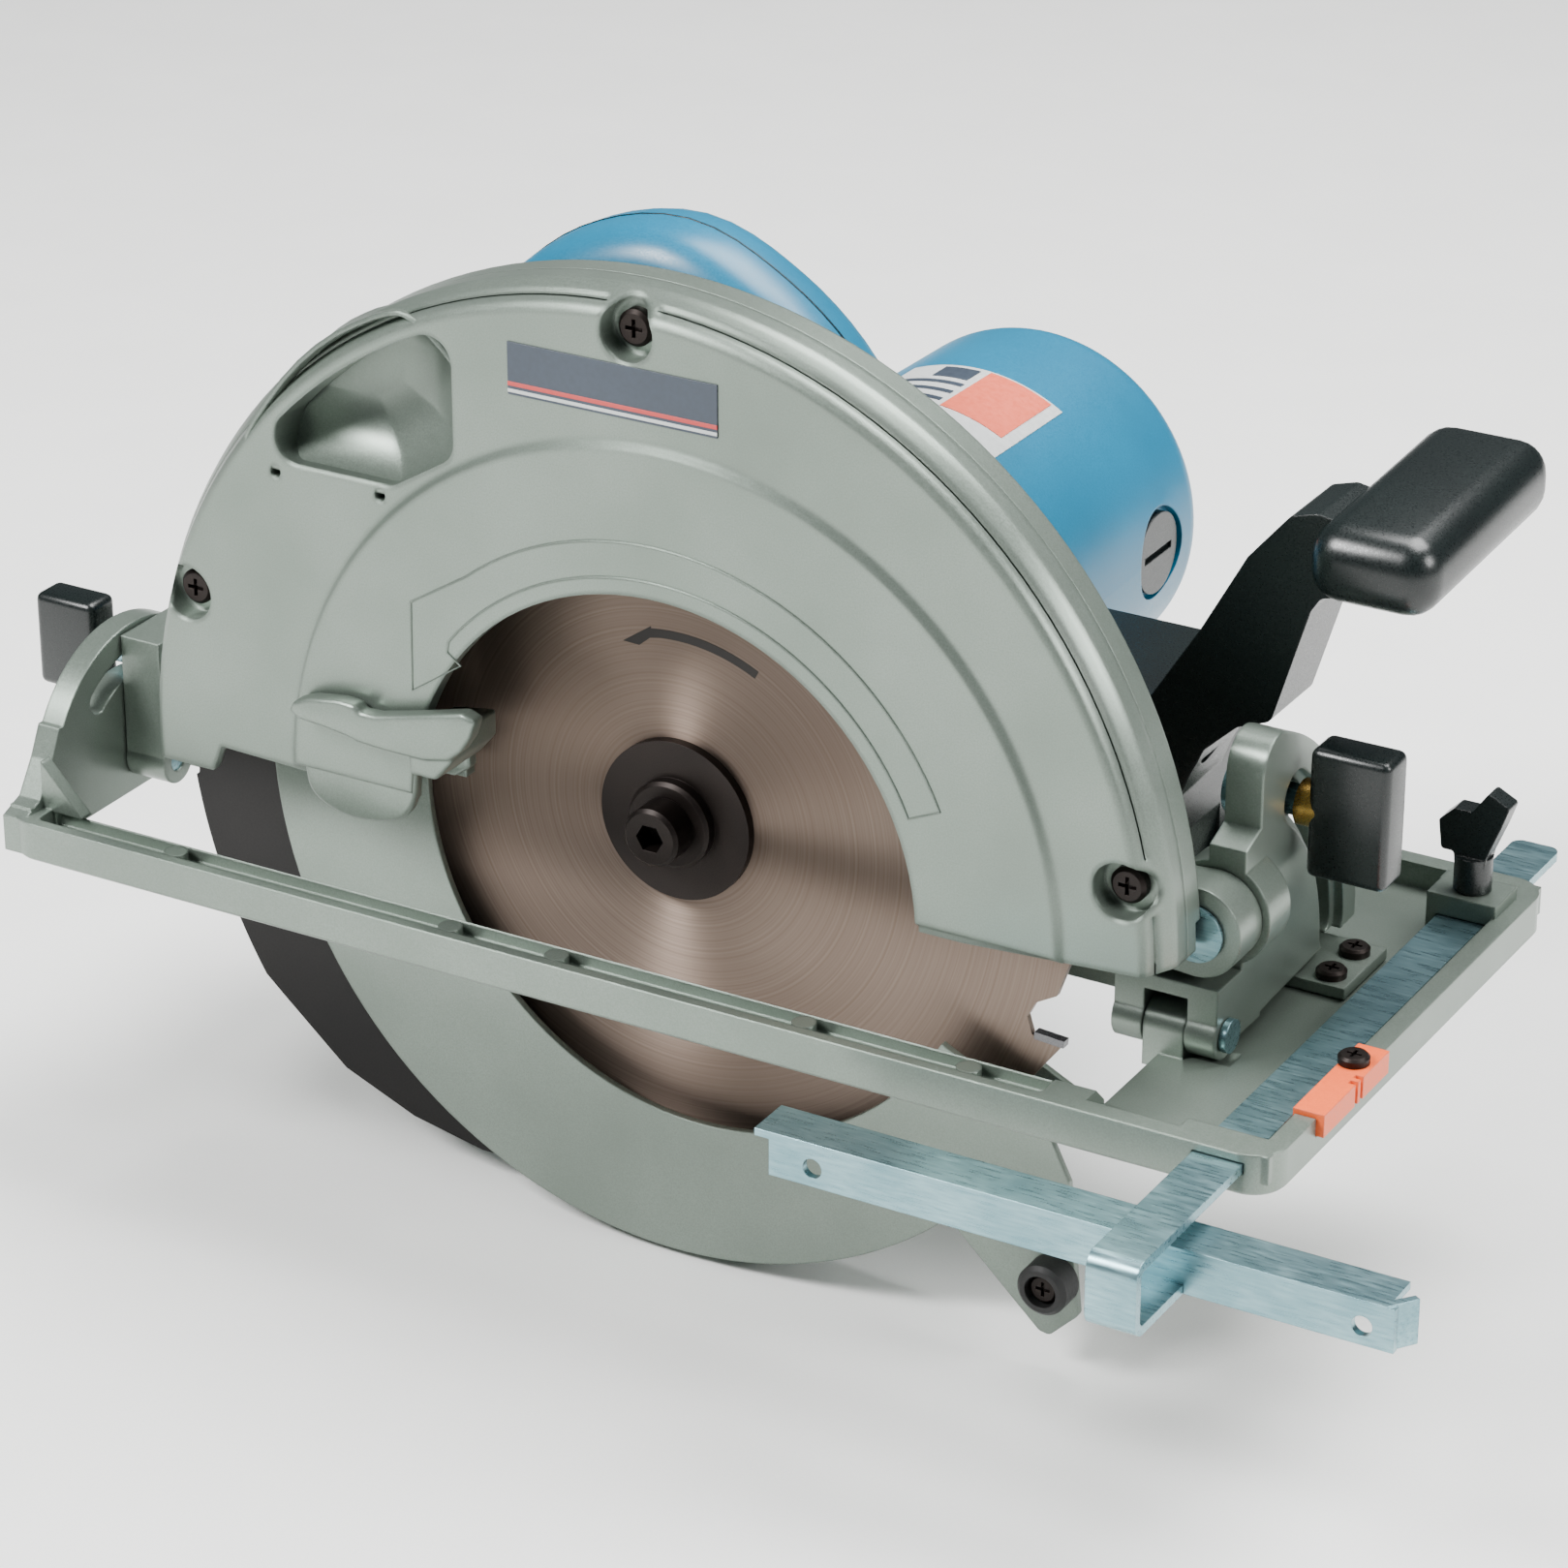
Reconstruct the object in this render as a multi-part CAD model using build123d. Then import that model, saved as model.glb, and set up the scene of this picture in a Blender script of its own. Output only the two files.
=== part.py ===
from build123d import *
import os
from math import cos, radians, sin

# Circular saw with a 235 mm blade. Every shape below is drawn from the blade's axis:
# x forward, y from the blade towards the motor, z up, millimetres.
# save() then shifts it to the row frame, whose origin lies on the sole plate's
# underside, in the blade's plane, on the front bridge ahead of the blade slot.
BRIDGE_X = 160.0            # blade axis to the origin, along x
AXIS_HEIGHT = 32.5          # blade axis above the sole plate's underside

# blade and its flanges
BLADE_R = 117.5
TEETH = 20
PLATE_T = 1.8
KERF = 2.6
SPINDLE_R = 7.5
FLANGE_R = 22.0

# blade case: flat cover towards the user, shallow casting behind it
CASE_R = 150.0
RIM_R = 145.5               # flat face of the cover ends here
COVER_Y = -27.0
SEAM_Y = -12.5
CASE_LIP_Y = -5.5
CASE_INNER_R = 134.0
CASE_BACK_Y = 15.5
WALL = 3.0
WINDOW = (10.0, -1.0, 74.0)     # x, z, radius of the cover's window
BAND_R = 111.0
COVER_SCREW_R = 140.5
COVER_SCREW_ANGLES = (10.0, 89.3, 162.0)
NOZZLE_HOLES = ((-103.7, 83.4), (-71.7, 83.4))

# gear train: 8 tooth pinion on the armature, 36 tooth gear on the spindle
MODULE = 1.5
PINION_TEETH = 8
GEAR_TEETH = 36
CENTRES = MODULE * (PINION_TEETH + GEAR_TEETH) / 2
MOTOR_ANGLE = 68.3          # direction of the motor from the blade axis
MOTOR_X = CENTRES * cos(radians(MOTOR_ANGLE))
MOTOR_Z = CENTRES * sin(radians(MOTOR_ANGLE))
GEAR_Y = (25.0, 36.0)

# motor housing
HOUSING_Y = (46.0, 178.0)
HOUSING_R = (51.5, 48.5)
BORE_R = 45.5
BRUSH_Y = 150.5
BRUSH_CAP_R = 11.5

# sole plate
SOLE_X = (-179.0, 192.5)
SOLE_Y = (-52.8, 115.0)
SOLE_H = 11.0
FLOOR_T = 4.0
SOLE_Z = -AXIS_HEIGHT
RAIL_Y = -37.5              # inner edge of the rail beside the blade
SLOT_END_X = 140.0

# tilting: hinge line along x, arc slots in front and behind
TILT_Y, TILT_Z = 0.0, -22.0
PLATE_X = (145.0, 155.0)    # front tilt plate
ARC_R = 61.5
STUD_ANGLE = 50.0
REAR_X = (-180.0, -173.0)   # rear arch
REAR_BLOCK_X = (-172.5, -160.0)
REAR_ARC_R = 27.0
REAR_STUD_ANGLE = 80.0

# depth: pivot along y at the front
PIVOT_X, PIVOT_Z = 148.0, 6.0
PIVOT_R = 12.0
DEPTH_RADII = (196.0, 214.0)    # curved bar behind the case
DEPTH_BAR_Y = (16.2, 20.2)

# rip guide bar
BAR_X = (172.0, 185.0)
BAR_Z = (-26.5, -24.0)
WING_X, WING_Y = 178.5, 96.5
BAR_NEAR_Y, BAR_FAR_Y = -108.0, 141.0

# handles
GRIP_Y = (22.0, 56.0)
FIT = 0.05                  # radial clearance of a running fit
GAP = 0.3                   # gap between faces that slide past each other


def save(name, *solids):
    """Shift solids to the row frame and write them as one node."""
    shape = solids[0]
    for solid in solids[1:]:
        shape += solid
    export_step(Pos(-BRIDGE_X, 0, AXIS_HEIGHT) * shape, f"parts/{name}.step")


def along_y(sketch, y0, y1):
    """Extrude an x-z sketch from y0 to y1."""
    plane = Plane(origin=(0, y1, 0), x_dir=(1, 0, 0), z_dir=(0, -1, 0))
    return extrude(plane * sketch, amount=y1 - y0, dir=plane.z_dir)


def along_x(sketch, x0, x1):
    """Extrude a y-z sketch from x0 to x1."""
    plane = Plane(origin=(x0, 0, 0), x_dir=(0, 1, 0), z_dir=(1, 0, 0))
    return extrude(plane * sketch, amount=x1 - x0, dir=plane.z_dir)


def along_z(sketch, z0, z1):
    """Extrude an x-y sketch from z0 to z1."""
    return extrude(Plane.XY.offset(z0) * sketch, amount=z1 - z0, dir=(0, 0, 1))


def rod_x(r, x0, x1, y=0.0, z=0.0):
    return Pos((x0 + x1) / 2, y, z) * Rot(0, 90, 0) * Cylinder(r, x1 - x0)


def rod_y(r, y0, y1, x=0.0, z=0.0):
    return Pos(x, (y0 + y1) / 2, z) * Rot(90, 0, 0) * Cylinder(r, y1 - y0)


def rod_z(r, z0, z1, x=0.0, y=0.0):
    return Pos(x, y, (z0 + z1) / 2) * Cylinder(r, z1 - z0)


def block(x, y, z):
    """A box between pairs of coordinates."""
    size = (x[1] - x[0], y[1] - y[0], z[1] - z[0])
    return Pos(sum(x) / 2, sum(y) / 2, sum(z) / 2) * Box(*size)


def polar(r, angle, x=0.0, z=0.0):
    return x + r * cos(radians(angle)), z + r * sin(radians(angle))


def outline(points, radius):
    """A closed polygon with every corner rounded."""
    return fillet(Polygon(*points, align=None).vertices(), radius)


def sector(r, a0, a1):
    """A pie slice big enough to cut a ring of radius r, up to 180 degrees wide."""
    middle = [polar(1.5 * r, a0 + (a1 - a0) * k / 4) for k in range(5)]
    return Polygon((0, 0), *middle, align=None)


def arc_slot(r, width, a0, a1):
    """A slot of the given width along an arc about the sketch's origin."""
    ring = Circle(r + width / 2) - Circle(r - width / 2)
    ends = [Pos(*polar(r, a)) * Circle(width / 2) for a in (a0, a1)]
    return (ring & sector(r + width, a0, a1)) + ends[0] + ends[1]


def pan_screw(r_shank, length, r_head, head):
    """A cross-recess pan screw pointing along -z, with its head's seat at z = 0."""
    screw = Pos(0, 0, -length / 2) * Cylinder(r_shank, length)
    screw += Pos(0, 0, head / 2) * Cylinder(r_head, head)
    screw = chamfer(screw.edges().group_by(Axis.Z)[-1], head * 0.3)
    for turn in (0, 90):
        screw -= Rot(0, 0, turn) * Pos(0, 0, head) * Box(r_head, r_head * 0.22, head)
    return screw


def facing(point, direction):
    """A place whose local +z points along direction."""
    return Plane(origin=point, z_dir=direction).location


# ---------------------------------------------------------------- blade group

def saw_blade():
    """Toothed plate: each tooth has a hooked face, a gullet and a sloping back."""
    pitch = 360 / TEETH
    points = []
    for n in range(TEETH):
        a = n * pitch
        points += [polar(108.5, a - 1.2), polar(105.6, a + 1.0), polar(106.6, a + 3.6)]
        points += [polar(111.5, a + 6.0), polar(116.4, a + pitch - 1.1), polar(116.6, a + pitch)]
    body = along_y(Polygon(*points, align=None), -PLATE_T / 2, PLATE_T / 2)
    body -= rod_y(SPINDLE_R + FIT, -2, 2)
    for n in range(4):
        slot = Pos(*polar(99, n * 90 + 12)) * Rot(0, 0, n * 90 + 12) * SlotOverall(18, 1.2)
        body -= along_y(slot, -2, 2)
    return body - Compound(children=carbide_tips())


def carbide_tips():
    """Brazed tips, a little wider than the plate and seated in front of each tooth."""
    tips = []
    for n in range(TEETH):
        a = n * 360 / TEETH
        tip = Pos(*polar(BLADE_R - 4.25, a - 0.45)) * Rot(0, 0, a + 14) * Rectangle(8.4, 2.0)
        tips.append(along_y(tip, -KERF / 2, KERF / 2) & rod_y(BLADE_R, -KERF, KERF))
    return tips


def outer_flange():
    flange = rod_y(FLANGE_R, -3.6, -PLATE_T / 2) + rod_y(12, -7.5, -3.6)
    flange = chamfer(flange.edges().group_by(Axis.Y)[0], 1.0)
    return flange - rod_y(5 + FIT, -9, 0)


def inner_flange():
    return rod_y(FLANGE_R, PLATE_T / 2, 5) - rod_y(SPINDLE_R, 0, 6)


def blade_bolt():
    """Socket head bolt screwed into the spindle's end."""
    bolt = rod_y(8, -16, -7.5) + rod_y(5, -7.5, 18)
    bolt = chamfer(bolt.edges().group_by(Axis.Y)[0], 1.0)
    return bolt - along_y(RegularPolygon(4, 6, align=None), -17, -10)


def spindle():
    shaft = rod_y(SPINDLE_R, -PLATE_T / 2, 37) + rod_y(5, 37, 44.8)
    return shaft - rod_y(5, -2, 18)


def gear_profile(teeth, tip, root, thickness):
    """Spur gear outline with trapezoid teeth; tooth 0 is centred on +x."""
    pitch_r = MODULE * teeth / 2
    half = thickness / pitch_r * 28.648
    step = 360 / teeth
    points = []
    for n in range(teeth):
        a = n * step
        points += [polar(root, a - half * 1.5), polar(pitch_r, a - half), polar(tip, a - half * 0.45)]
        points += [polar(tip, a + half * 0.45), polar(pitch_r, a + half), polar(root, a + half * 1.5)]
    return Polygon(*points, align=None)


def drive_gear():
    """Gear on the spindle, turned so that a gap faces the pinion."""
    r = MODULE * GEAR_TEETH / 2
    profile = gear_profile(GEAR_TEETH, r + 1.0, r - 1.7, 1.7)
    profile = Rot(0, 0, MOTOR_ANGLE + 180 / GEAR_TEETH) * profile
    gear = along_y(profile, *GEAR_Y) - rod_y(SPINDLE_R, 20, 40)
    for n in range(6):
        gear -= rod_y(3.2, 20, 40, *polar(17, n * 60))
    return gear


def armature_shaft():
    """Motor shaft with the pinion cut into its front end."""
    r = MODULE * PINION_TEETH / 2
    profile = gear_profile(PINION_TEETH, r + 1.3, r - 1.5, 1.7)
    profile = Rot(0, 0, MOTOR_ANGLE + 180) * profile
    pinion = along_y(Pos(MOTOR_X, MOTOR_Z) * profile, 24, 38)
    return pinion + rod_y(6, 38, 158, MOTOR_X, MOTOR_Z) + rod_y(4, 158, 166, MOTOR_X, MOTOR_Z)


def armature_core():
    """Slotted lamination stack with the winding heads at both ends."""
    core = Circle(25)
    for n in range(14):
        core -= Pos(*polar(23.5, n * 360 / 14)) * Rot(0, 0, n * 360 / 14) * Rectangle(5, 2.4)
    core = along_y(Pos(MOTOR_X, MOTOR_Z) * core, 74, 122)
    for y0, y1 in ((68, 74), (122, 128)):
        core += rod_y(20, y0, y1, MOTOR_X, MOTOR_Z)
    return core - rod_y(6, 60, 130, MOTOR_X, MOTOR_Z)


def commutator():
    bars = Circle(15)
    for n in range(20):
        bars -= Pos(*polar(15, n * 18)) * Rot(0, 0, n * 18) * Rectangle(2.4, 0.8)
    return along_y(Pos(MOTOR_X, MOTOR_Z) * bars, 142, 157) - rod_y(6, 130, 160, MOTOR_X, MOTOR_Z)


def cooling_fan():
    """Radial fan: a disc with straight blades."""
    fan = Circle(12)
    for n in range(11):
        fan += Pos(*polar(25, n * 360 / 11)) * Rot(0, 0, n * 360 / 11 + 20) * Rectangle(28, 1.8)
    body = along_y(Pos(MOTOR_X, MOTOR_Z) * fan, 58, 65) + rod_y(39, 57, 59, MOTOR_X, MOTOR_Z)
    return body - rod_y(6, 50, 70, MOTOR_X, MOTOR_Z)


def ball_bearing(outer, bore, y0, y1, x=0.0, z=0.0):
    """A shielded ball bearing; the bore runs on the shaft with a running clearance."""
    ring = rod_y(outer, y0, y1, x, z) - rod_y(bore + FIT, y0 - 1, y1 + 1, x, z)
    shield = (rod_y(outer - 2, y0, y0 + 0.6, x, z) - rod_y(bore + 2, y0 - 1, y0 + 1, x, z))
    return ring - shield


# ---------------------------------------------------------------- blade case

def case_outline(r):
    """The case seen from the side: a disc cut off at axle height, with a heel at the rear."""
    floor = Polygon(
        (-160, -6.4), (-128, -6.4), (-125, 1.2), (-94, 0.3), (96, 0), (160, 4),
        (160, 160), (-160, 160), align=None)
    return Circle(r) & floor


def case_body(y0, y1, inset=0.0):
    return along_y(case_outline(CASE_R - inset), y0, y1)


def cover_chute(grow=0.0):
    """The dust chute's mouth: follows the rim on its upper side."""
    mouth = Polygon((-113, 86.5), (-68, 86.5), (-49, 98), (-49, 150), (-130, 150), align=None)
    mouth = mouth & Circle(141.5)
    mouth = fillet(mouth.vertices(), 7)
    return offset(mouth, grow) if grow else mouth


def blade_case_cover():
    """Cast cover: bevelled rim, raised band round the window, chute mouth, screw seats."""
    rim = Polygon(
        (0, COVER_Y), (RIM_R - 1.5, COVER_Y), (RIM_R, COVER_Y + 0.8), (CASE_R - 0.6, -19.5),
        (CASE_R, -18), (CASE_R, SEAM_Y), (0, SEAM_Y), align=None)
    cover = revolve(rim, Axis.Y) & case_body(COVER_Y - 1, SEAM_Y)
    x, z, r = WINDOW
    disc = Circle(BAND_R + 1.8) & Pos(0, 151.5) * Rectangle(400, 300)
    band = extrude(Plane(origin=(x + 1, COVER_Y, 0), x_dir=(1, 0, 0), z_dir=(0, -1, 0)) * disc,
                   amount=1.8, taper=42)
    cover += band
    hollow = case_body(COVER_Y + WALL, SEAM_Y + 1, WALL)
    for angle in COVER_SCREW_ANGLES:
        hollow -= rod_y(9.5, COVER_Y, 0, *polar(COVER_SCREW_R, angle))
    chute_wall = along_y(cover_chute(2.5), COVER_Y, SEAM_Y - 1)
    nozzle_pad = along_y(Pos(-87.7, 84) * RectangleRounded(44, 12, 3), COVER_Y, COVER_Y + 8)
    cover -= hollow - chute_wall - nozzle_pad
    cover -= along_y(cover_chute(), COVER_Y - 3, SEAM_Y + 1)
    for px, pz in NOZZLE_HOLES:
        cover -= rod_y(1.65, COVER_Y - 1, COVER_Y + 7, px, pz)
    cover -= rod_y(r, -40, 0, x, z)
    for angle in COVER_SCREW_ANGLES:
        px, pz = polar(COVER_SCREW_R, angle)
        cover -= rod_y(7.6, -40, -20, px, pz) + rod_y(2.8, -40, 0, px, pz)
    return cover


def case_screws():
    """Identical screws: three hold the cover to the case, four the gear cover."""
    head = pan_screw(2.5, 14, 4.8, 3.2)
    cover = [facing((px, -20, pz), (0, -1, 0)) * head
             for px, pz in (polar(COVER_SCREW_R, a) for a in COVER_SCREW_ANGLES)]
    return cover + [facing((x, 46, z), (0, 1, 0)) * head for x, z in SCREW_PLACES]


def pivot_arm():
    """Arm that reaches forward from the case to the depth pivot."""
    arm = along_y(Polygon((122.5, -4), (148, -6), (148, 18), (122.5, 16), align=None), -4, 8)
    return arm + rod_y(PIVOT_R, -4, 8, PIVOT_X, PIVOT_Z)


def gear_room():
    """Gear housing: round the spindle and round the motor, open towards the motor."""
    room = rod_y(31.5, 12.5, 40) + rod_y(HOUSING_R[0], 12.5, 40, MOTOR_X, MOTOR_Z)
    hollow = rod_y(29.3, CASE_BACK_Y + 9, 41) + rod_y(
        BORE_R, CASE_BACK_Y + 9, 41, MOTOR_X, MOTOR_Z)
    for x, z in SCREW_PLACES:
        hollow -= rod_y(6.5, 20, 41, x, z)
    for x, z in SCREW_PLACES:
        hollow += rod_y(2.5 + FIT, 30, 41, x, z)
    return room - hollow


def blade_case():
    """Motor-side casting: rim, guard chamber, gear housing and the front pivot arm."""
    lip = case_body(SEAM_Y, CASE_LIP_Y) - case_body(SEAM_Y - 1, CASE_LIP_Y - WALL, WALL)
    lip -= rod_y(CASE_INNER_R - WALL, -20, 0)
    for angle in COVER_SCREW_ANGLES:
        px, pz = polar(COVER_SCREW_R, angle)
        lip += rod_y(6, SEAM_Y, CASE_LIP_Y, px, pz)
        lip -= rod_y(2.5 + FIT, -20, -5.8, px, pz)
    upper = Pos(0, 75) * Rectangle(320, 150)
    drum = along_y(Circle(CASE_INNER_R) & upper, CASE_LIP_Y - WALL, CASE_BACK_Y)
    drum -= rod_y(CASE_INNER_R - WALL, -20, CASE_BACK_Y - WALL)
    lever_lug = rod_y(9, CASE_BACK_Y - WALL - 1, CASE_BACK_Y, *LEVER_AT)
    lock_boss = rod_x(6.5, 58, 71, *LOCK_AT)
    case = lip + drum + gear_room() + rod_y(22.5, 6.5, 13) + pivot_arm() + lever_lug + lock_boss
    case -= rod_y(17.5, CASE_BACK_Y - 1, CASE_BACK_Y + 9.1)
    case -= rod_y(9.5, 0, 30) + rod_y(8, CASE_BACK_Y + 8, 41, MOTOR_X, MOTOR_Z)
    case -= rod_y(5.0 + FIT, -8, 14, PIVOT_X, PIVOT_Z)
    case -= rod_y(3.0 + FIT, 13.5, 20, *LEVER_AT)
    for z in (2, 16):
        case += rod_y(5, -8, -1.2, -140, z) - rod_y(2.5 + FIT, -12, 12, -140, z)
        case -= rod_y(2.5 + FIT, -12, 12, -140, z)
    return case - rod_x(3.0 + FIT, 40, 80, *LOCK_AT)


def gear_cover():
    """Bearing plate between the gears and the motor."""
    plate = rod_y(31.5, 40, 46) + rod_y(HOUSING_R[0], 40, 46, MOTOR_X, MOTOR_Z)
    plate += rod_y(15, 37.6, 41) + rod_y(19, 46, 56, MOTOR_X, MOTOR_Z)
    plate -= rod_y(13, 30, 45) + rod_y(16, 46, 57, MOTOR_X, MOTOR_Z)
    plate -= rod_y(8.5, 30, 57, MOTOR_X, MOTOR_Z)
    for x, z in SCREW_PLACES:
        plate -= rod_y(2.5 + FIT, 30, 50, x, z)
    return plate


def riving_knife():
    """Curved plate behind the blade with one clearance window."""
    ring = (Circle(155) - Circle(124.5)) & Polygon(
        (-170, -24), (-100, -24), (-60, -100), (-48, -113), (-52, -115.5), (-63.5, -115.5),
        (-85.4, -111.1), (-107.4, -102.1), (-125.9, -86), (-136, -77), (-170, -60), align=None)
    tang = Polygon((-152.5, -28), (-122, -28), (-124, -5), (-134.8, -3), (-134.8, 22),
                   (-146.5, 22), (-151, -6), align=None)
    knife = along_y(ring + tang, -1.2, 1.2)
    knife -= along_y(Pos(-117.5, -31) * Rot(0, 0, 14) * RectangleRounded(6, 15, 2), -2, 2)
    for z in (2, 16):
        knife -= rod_y(2.5 + FIT, -3, 3, -140, z)
    return knife


def socket_bolts():
    """Identical bolts: two hold the riving knife, two the front handle."""
    bolt = Pos(0, 0, -6) * Cylinder(2.5, 12) + Pos(0, 0, 2.2) * Cylinder(4.6, 4.4)
    bolt -= Pos(0, 0, 1.5) * extrude(RegularPolygon(2.4, 6, align=None), 4)
    knife = [facing((-140, 1.2, z), (0, 1, 0)) * bolt for z in (2, 16)]
    return knife + [facing((72, y, 24), (1, 0, 0)) * bolt for y in (60, 86)]


# ---------------------------------------------------------------- lower guard

GUARD_X, GUARD_Z, GUARD_R = 1.0, -1.0, 121.5
BUMPER_AT = (115.0, -98.0)
LEVER_SCREW = (-67.0, 8.0)
GUARD_NEAR = (-10.0, -8.0)
GUARD_FAR = (8.0, 10.0)


def guard_sweep(r, a0, a1):
    """A disc of radius r kept only between two angles, over 180 degrees allowed."""
    middle = (a0 + a1) / 2
    kept = sector(200, a0, middle) + sector(200, middle, a1)
    return (Pos(GUARD_X, GUARD_Z) * Circle(r)) & kept


def lower_guard():
    """Channel round the blade: ring towards the user, full plate behind, rim between them."""
    beak = Polygon(
        (84, -58), (85, -90), (111, -114.5), (114, -115), (122, -107), (118.4, -69.5),
        (113.8, -60.2), (106, -46), align=None)
    near = guard_sweep(GUARD_R, 172, 334) + fillet(beak.vertices(), 2)
    near -= Pos(10, -1) * Circle(81.5)
    far = guard_sweep(GUARD_R, 172, 334) + Circle(29)
    guard = along_y(near, *GUARD_NEAR) + along_y(far, *GUARD_FAR)
    rim = guard_sweep(GUARD_R, 172, 312) - Pos(GUARD_X, GUARD_Z) * Circle(GUARD_R - 2)
    guard += along_y(rim, GUARD_NEAR[0], GUARD_FAR[1])
    guard -= rod_y(22.5 + GAP, 0, 20)
    guard += block((-88, -58), (-12, -8), (2, 13.5))
    guard -= rod_y(2.05, -13, -7, *LEVER_SCREW)
    return guard - rod_y(2.05, -20, 0, *BUMPER_AT)


def guard_lever():
    """Thumb lever: a web out through the cover's window and a bar across its face."""
    web = block((-61, -55.5), (-34, -12), (11, 16.5))
    foot = block((-73, -55.5), (-14.5, -12), (3, 16))
    bar = outline(((-100, 20), (-100, 24), (-53, 27), (-53, 16), (-74, 17), (-80, 20)), 1.2)
    lever = web + along_y(bar, -35, -29.6) + foot
    return lever - rod_y(2.05, -40, 0, *LEVER_SCREW)


def guard_bumper():
    """Rubber stop near the beak, on the user's side, with a sunk screw seat."""
    bumper = rod_y(7, -18, -10, *BUMPER_AT)
    bumper = chamfer(bumper.edges().group_by(Axis.Y)[0], 1.2)
    return bumper - rod_y(2.05, -20, 0, *BUMPER_AT) - rod_y(4.4, -20, -14, *BUMPER_AT)


def guard_screws():
    """Identical screws for the guard's lever and its rubber stop."""
    head = pan_screw(2.0, 6, 4.0, 2.4)
    return [facing((x, y, z), (0, -1, 0)) * head
            for x, y, z in ((LEVER_SCREW[0], -14.5, LEVER_SCREW[1]),
                            (BUMPER_AT[0], -14.0, BUMPER_AT[1]))]


def guard_ring():
    """Snap ring that keeps the lower guard on the case's nose."""
    return rod_y(25.5, 6.6, 7.6) - rod_y(22.5, 6, 9) - block((-3, 3), (6, 9), (-27, -20))


def guard_spring():
    """Return spring wound round the nose, drawn as its outer shape."""
    return rod_y(28, 10.6, 12.2) - rod_y(24.2, 10, 13)


# ---------------------------------------------------------------- motor

def housing_shell(inset):
    """The housing's taper as a solid, inset from the outside."""
    length = HOUSING_Y[1] - HOUSING_Y[0]
    cone = Rot(-90, 0, 0) * Cone(HOUSING_R[0] - inset, HOUSING_R[1] - inset, length)
    return Pos(MOTOR_X, sum(HOUSING_Y) / 2, MOTOR_Z) * cone


def motor_housing():
    """Moulded can with a closed, rounded end, brush cap wells and air slots."""
    can = housing_shell(0)
    can = fillet(can.edges().filter_by(GeomType.CIRCLE).group_by(Axis.Y)[-1], 9)
    can -= rod_y(BORE_R, 40, 168, MOTOR_X, MOTOR_Z)
    can += rod_y(14, 160, 170, MOTOR_X, MOTOR_Z)
    can -= rod_y(11, 150, 167.05, MOTOR_X, MOTOR_Z)
    for side in (-1, 1):
        well = (MOTOR_X + side * 40, MOTOR_X + side * 60)
        can -= rod_x(13, min(well), max(well), BRUSH_Y, MOTOR_Z)
        wall = (MOTOR_X + side * 36, MOTOR_X + side * 45.5)
        can += rod_x(13.5, min(wall), max(wall), BRUSH_Y, MOTOR_Z) - rod_y(
            37, 130, 170, MOTOR_X, MOTOR_Z)
        hole = (MOTOR_X + side * 30, MOTOR_X + side * 60)
        can -= rod_x(8, min(hole), max(hole), BRUSH_Y, MOTOR_Z)
    for y in (60, 86):
        can -= rod_x(2.5 + FIT, 50, 70, y, 24)
    for n in range(7):
        x = MOTOR_X - 24 + n * 8
        can -= block((x - 1.5, x + 1.5), (160, 190), (MOTOR_Z + 18, MOTOR_Z + 34))
        can -= block((x - 1.5, x + 1.5), (160, 190), (MOTOR_Z - 34, MOTOR_Z - 18))
    return can


def brush_caps():
    """Slotted caps that screw in over the carbon brushes."""
    caps = []
    for side in (-1, 1):
        x = sorted((MOTOR_X + side * 45.5, MOTOR_X + side * 48.0))
        stem = sorted((MOTOR_X + side * 36, MOTOR_X + side * 45.5))
        cap = rod_x(BRUSH_CAP_R, *x, BRUSH_Y, MOTOR_Z) + rod_x(8, *stem, BRUSH_Y, MOTOR_Z)
        slot = block(sorted((MOTOR_X + side * 46.8, MOTOR_X + side * 50)),
                     (BRUSH_Y - 8, BRUSH_Y + 8), (MOTOR_Z - 1, MOTOR_Z + 1))
        caps.append(cap - slot)
    return caps


def brush_holders():
    """Brass guides for the carbon brushes."""
    tubes = []
    for side in (-1, 1):
        x = sorted((MOTOR_X + side * 17, MOTOR_X + side * 35.8))
        hollow = block((x[0] - 1, x[1] + 1), (BRUSH_Y - 4.5, BRUSH_Y + 4.5),
                       (MOTOR_Z - 3.5, MOTOR_Z + 3.5))
        tubes.append(rod_x(7.5, *x, BRUSH_Y, MOTOR_Z) - hollow)
    return tubes


def carbon_brushes():
    """One brush on each side, a hair off the commutator it runs on."""
    return [block(sorted((MOTOR_X + side * 15.3, MOTOR_X + side * 31)),
                  (BRUSH_Y - 4.3, BRUSH_Y + 4.3), (MOTOR_Z - 3.3, MOTOR_Z + 3.3))
            for side in (-1, 1)]


def stator_core():
    """Two-pole lamination ring."""
    ring = Circle(BORE_R) - Circle(26)
    for side in (-1, 1):
        ring -= Pos(side * 33, 0) * RectangleRounded(9, 40, 3)
    return along_y(Pos(MOTOR_X, MOTOR_Z) * ring, 74, 122)


def field_coils():
    """Windings that stand out of the stator at each end."""
    coils = []
    for y0, y1 in ((67, 74), (122, 130)):
        ring = Circle(41) - Circle(27.5)
        coils.append(along_y(Pos(MOTOR_X, MOTOR_Z) * ring, y0, y1))
    return coils


SCREW_PLACES = [polar(40.5, a, MOTOR_X, MOTOR_Z) for a in (25, 110, 160, 335)]


# ---------------------------------------------------------------- main handle

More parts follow.
